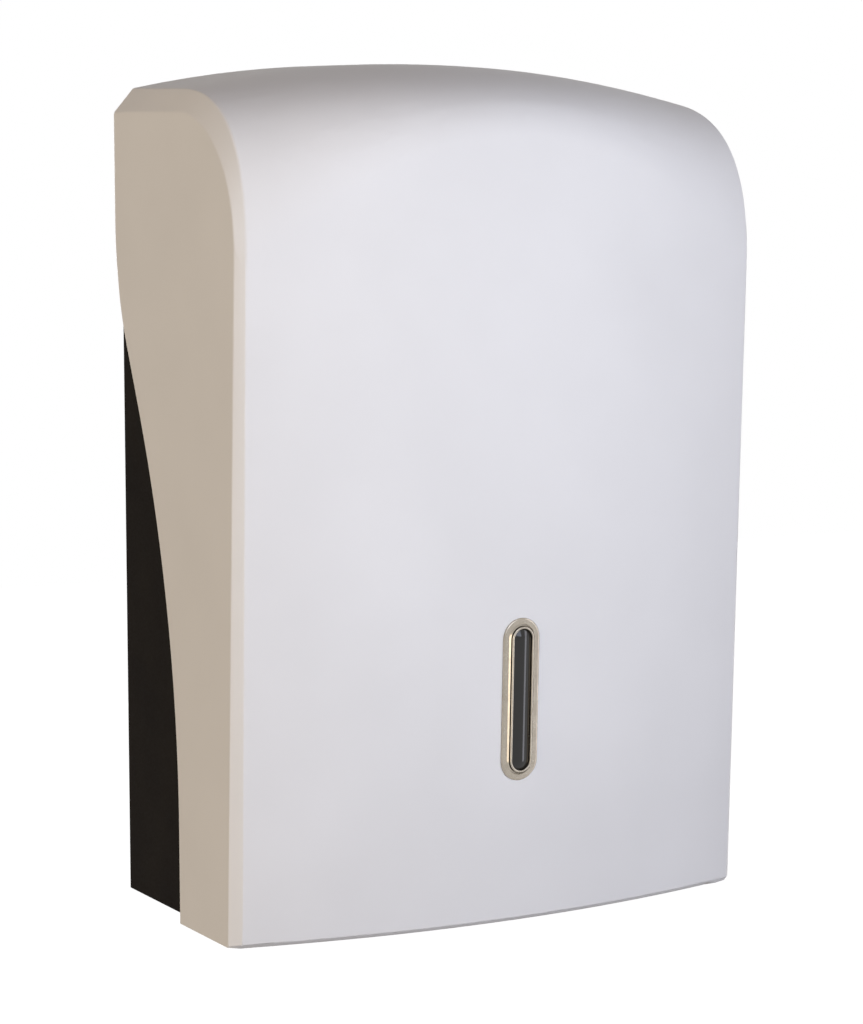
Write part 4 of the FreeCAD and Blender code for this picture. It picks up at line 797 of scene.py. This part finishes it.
def make_lock_plug():
    """The turning plug: a rimmed face with a keyway, and a square tang for the cam."""
    low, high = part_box("lock_plug")
    face, tip = high.z / MM, low.z / MM
    step = tip + PLUG_STEP
    under = face - FACE_DEPTH
    outline = [(0.0, step), (PLUG_RADIUS, step), (PLUG_RADIUS, under), (FACE_RADIUS, under)]
    outline += [(radius, face - depth) for radius, depth in FACE_RIM]
    plug = turned("lock_plug_form", outline, LOCK_STEPS)
    cut(plug, block("keyway", (KEYWAY_LENGTH, KEYWAY_WIDTH, 2 * KEYWAY_DEPTH), (0, 0, face)))
    cut(plug, block("tang", (TANG, TANG, TANG_LENGTH), (0, 0, tip + TANG_LENGTH / 2)), "UNION")
    settle(plug, Matrix.Translation(LOCK_MIDDLE))
    complete(plug, "lock", "lock_chrome", "lock_plug")


def make_lock_nut():
    """A thin hexagon nut whose corners are turned off."""
    low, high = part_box("lock_nut")
    foot, top = low.z / MM, high.z / MM
    corner, flat = (high.x - low.x) / 2 / MM, (high.y - low.y) / 2 / MM
    outside = corner + NUT_MARGIN
    nut = turned("lock_nut_form", [(0.0, foot), (corner, foot), (corner, top), (0.0, top)], steps=6)
    cut(nut, turned("corners", [
        (0.0, foot), (flat, foot), (outside, foot + NUT_CHAMFER),
        (outside, top - NUT_CHAMFER), (flat, top), (0.0, top)], LOCK_STEPS), "INTERSECT")
    low_end, high_end = foot - OVERSHOOT, top + OVERSHOOT
    cut(nut, turned("bore", [
        (0.0, low_end), (NUT_BORE, low_end), (NUT_BORE, high_end), (0.0, high_end)], LOCK_STEPS))
    settle(nut, Matrix.Translation(LOCK_MIDDLE))
    complete(nut, "cover", "screw_steel", "lock_nut")


# ---------------------------------------------------------------- floor and light

AIM = Vector((0.0, -0.09, 0.0))      # the lamps point at the middle of the part
LAMP_POWER = 4.0       # watts that give a level of one at one metre
FLOOR_DROP = 0.9       # the part hangs well above the floor
FLOOR_SIDE = 16.0
FLOOR_CELLS = 8
FLOOR_GLOW = 0.8       # share of plain white in the floor as it is seen; the rest takes the shadow
FLOOR_LEVEL = 1.3      # how bright that white is before the shadow share takes its part
AMBIENT = (0.078, 0.05, 0.038, 1.0)    # dim and warm, from all round
WHITE = (1.0, 1.0, 1.0, 1.0)


def seen_directly(tree):
    """One for what the camera, a mirror or a clear part sees; nought for light that falls on things."""
    path = add(tree, "ShaderNodeLightPath", {})
    seen = add(tree, "ShaderNodeMath", {0: path.outputs["Is Camera Ray"],
                                        1: path.outputs["Is Glossy Ray"]}, operation="MAXIMUM")
    return add(tree, "ShaderNodeMath", {0: seen, 1: path.outputs["Is Transmission Ray"]},
               operation="MAXIMUM")


def make_world():
    """A white surround to look at, and a dim warm one that lights the part from all round."""
    world = bpy.data.worlds.new("studio")
    bpy.context.scene.world = world
    world.use_nodes = True
    tree = world.node_tree
    tree.nodes.clear()
    surround = add(tree, "ShaderNodeMix", {"Factor": seen_directly(tree), FIRST_COLOUR: AMBIENT,
                                           SECOND_COLOUR: WHITE}, data_type="RGBA")
    back = add(tree, "ShaderNodeBackground", {"Color": surround.outputs[MIXED_COLOUR]})
    add(tree, "ShaderNodeOutputWorld", {"Surface": back})


def matt_floor_paint():
    """Matt paint that sends little light up under the part; it is seen as white.

    Its matt share keeps the part's shadow.
    """
    material = bpy.data.materials.new("matt_floor_paint")
    material.use_nodes = True
    tree = material.node_tree
    tree.nodes.clear()
    share = add(tree, "ShaderNodeMath", {0: seen_directly(tree), 1: FLOOR_GLOW},
                operation="MULTIPLY")
    paint = add(tree, "ShaderNodeBsdfDiffuse", {"Color": linear("#9e9e9e")})
    glow = add(tree, "ShaderNodeEmission", {"Strength": FLOOR_LEVEL})
    add(tree, "ShaderNodeOutputMaterial",
        {"Surface": add(tree, "ShaderNodeMixShader", {0: share, 1: paint, 2: glow})})
    return material


def make_floor():
    """The studio floor, far below the part, which hangs as if on its wall."""
    deselect()
    bpy.ops.mesh.primitive_grid_add(x_subdivisions=FLOOR_CELLS, y_subdivisions=FLOOR_CELLS,
                                    size=FLOOR_SIDE, location=(0.0, 0.0, FOOT - FLOOR_DROP))
    floor = bpy.context.object
    floor.name = "studio_floor"
    bpy.ops.object.transform_apply(location=True, rotation=True, scale=True)
    floor.data.materials.append(matt_floor_paint())
    deselect()


def make_lamp(name, place, size, level, tint, mirrored=True):
    """A soft box aimed at the part; its power makes up for its distance."""
    lamp = bpy.data.lights.new(name, "AREA")
    lamp.shape = "RECTANGLE"
    lamp.size, lamp.size_y = size
    lamp.energy = LAMP_POWER * level * (Vector(place) - AIM).length_squared
    lamp.color = tint
    holder = bpy.data.objects.new(name, lamp)
    bpy.context.scene.collection.objects.link(holder)
    holder.location = place
    holder.rotation_euler = (AIM - Vector(place)).to_track_quat("-Z", "Y").to_euler()
    holder.visible_camera = False
    holder.visible_glossy = mirrored


def make_lamps():
    """Cool light on the front, warm light on the left, and fills for the right side and the back."""
    make_lamp("front_lamp", (0.1, -2.35, 0.65), size=(1.2, 1.2), level=0.65, tint=(0.75, 0.82, 1.0))
    make_lamp("right_lamp", (1.72, -1.75, -0.1), size=(0.45, 1.8), level=0.36, tint=(0.89, 0.9, 1.0))
    make_lamp("left_lamp", (-2.2, -0.3, 0.05), size=(1.5, 1.5), level=1.27, tint=(1.0, 0.87, 0.7))
    make_lamp("near_lamp", (-0.05, -0.8, 0.13), size=(0.4, 0.4), level=1.4,
              tint=(0.91, 0.935, 1.0), mirrored=False)
    make_lamp("far_side_lamp", (2.3, 0.85, 0.0), size=(1.2, 1.2), level=0.9,
              tint=(0.95, 0.97, 1.0), mirrored=False)
    make_lamp("back_lamp", (0.0, 2.6, -0.3), size=(0.3, 1.5), level=1.0, tint=(0.95, 0.97, 1.0))


# ---------------------------------------------------------------- camera

CAMERA_PLACE = Vector((-0.68174, -1.26269, 0.11341))
CAMERA_YAW = 0.51751                 # turns, in radians
CAMERA_PITCH = 0.09701
CAMERA_ROLL = -0.0018683
CAMERA_SENSOR = 36.0                 # millimetres, as the lens
CAMERA_LENS = 95.71


def make_camera():
    """A long lens a little above the middle of the part, to its left."""
    data = bpy.data.cameras.new("camera")
    data.sensor_width = CAMERA_SENSOR
    data.lens = CAMERA_LENS
    camera = bpy.data.objects.new("camera", data)
    bpy.context.scene.collection.objects.link(camera)
    camera.matrix_world = (Matrix.Translation(CAMERA_PLACE)
                           @ Matrix.Rotation(-CAMERA_YAW, 4, "Z")
                           @ Matrix.Rotation(math.pi / 2 - CAMERA_PITCH, 4, "X")
                           @ Matrix.Rotation(CAMERA_ROLL, 4, "Z"))
    bpy.context.scene.camera = camera


# ---------------------------------------------------------------- the scene

make_cover()
make_arm("hinge_arm_left")
make_arm("hinge_arm_right")
make_mouldings()
make_window()
make_screws()
make_hinge_pins()
make_lock_body()
make_lock_plug()
make_lock_nut()
make_world()
make_floor()
make_lamps()
make_camera()
bpy.context.scene.view_settings.view_transform = "Standard"
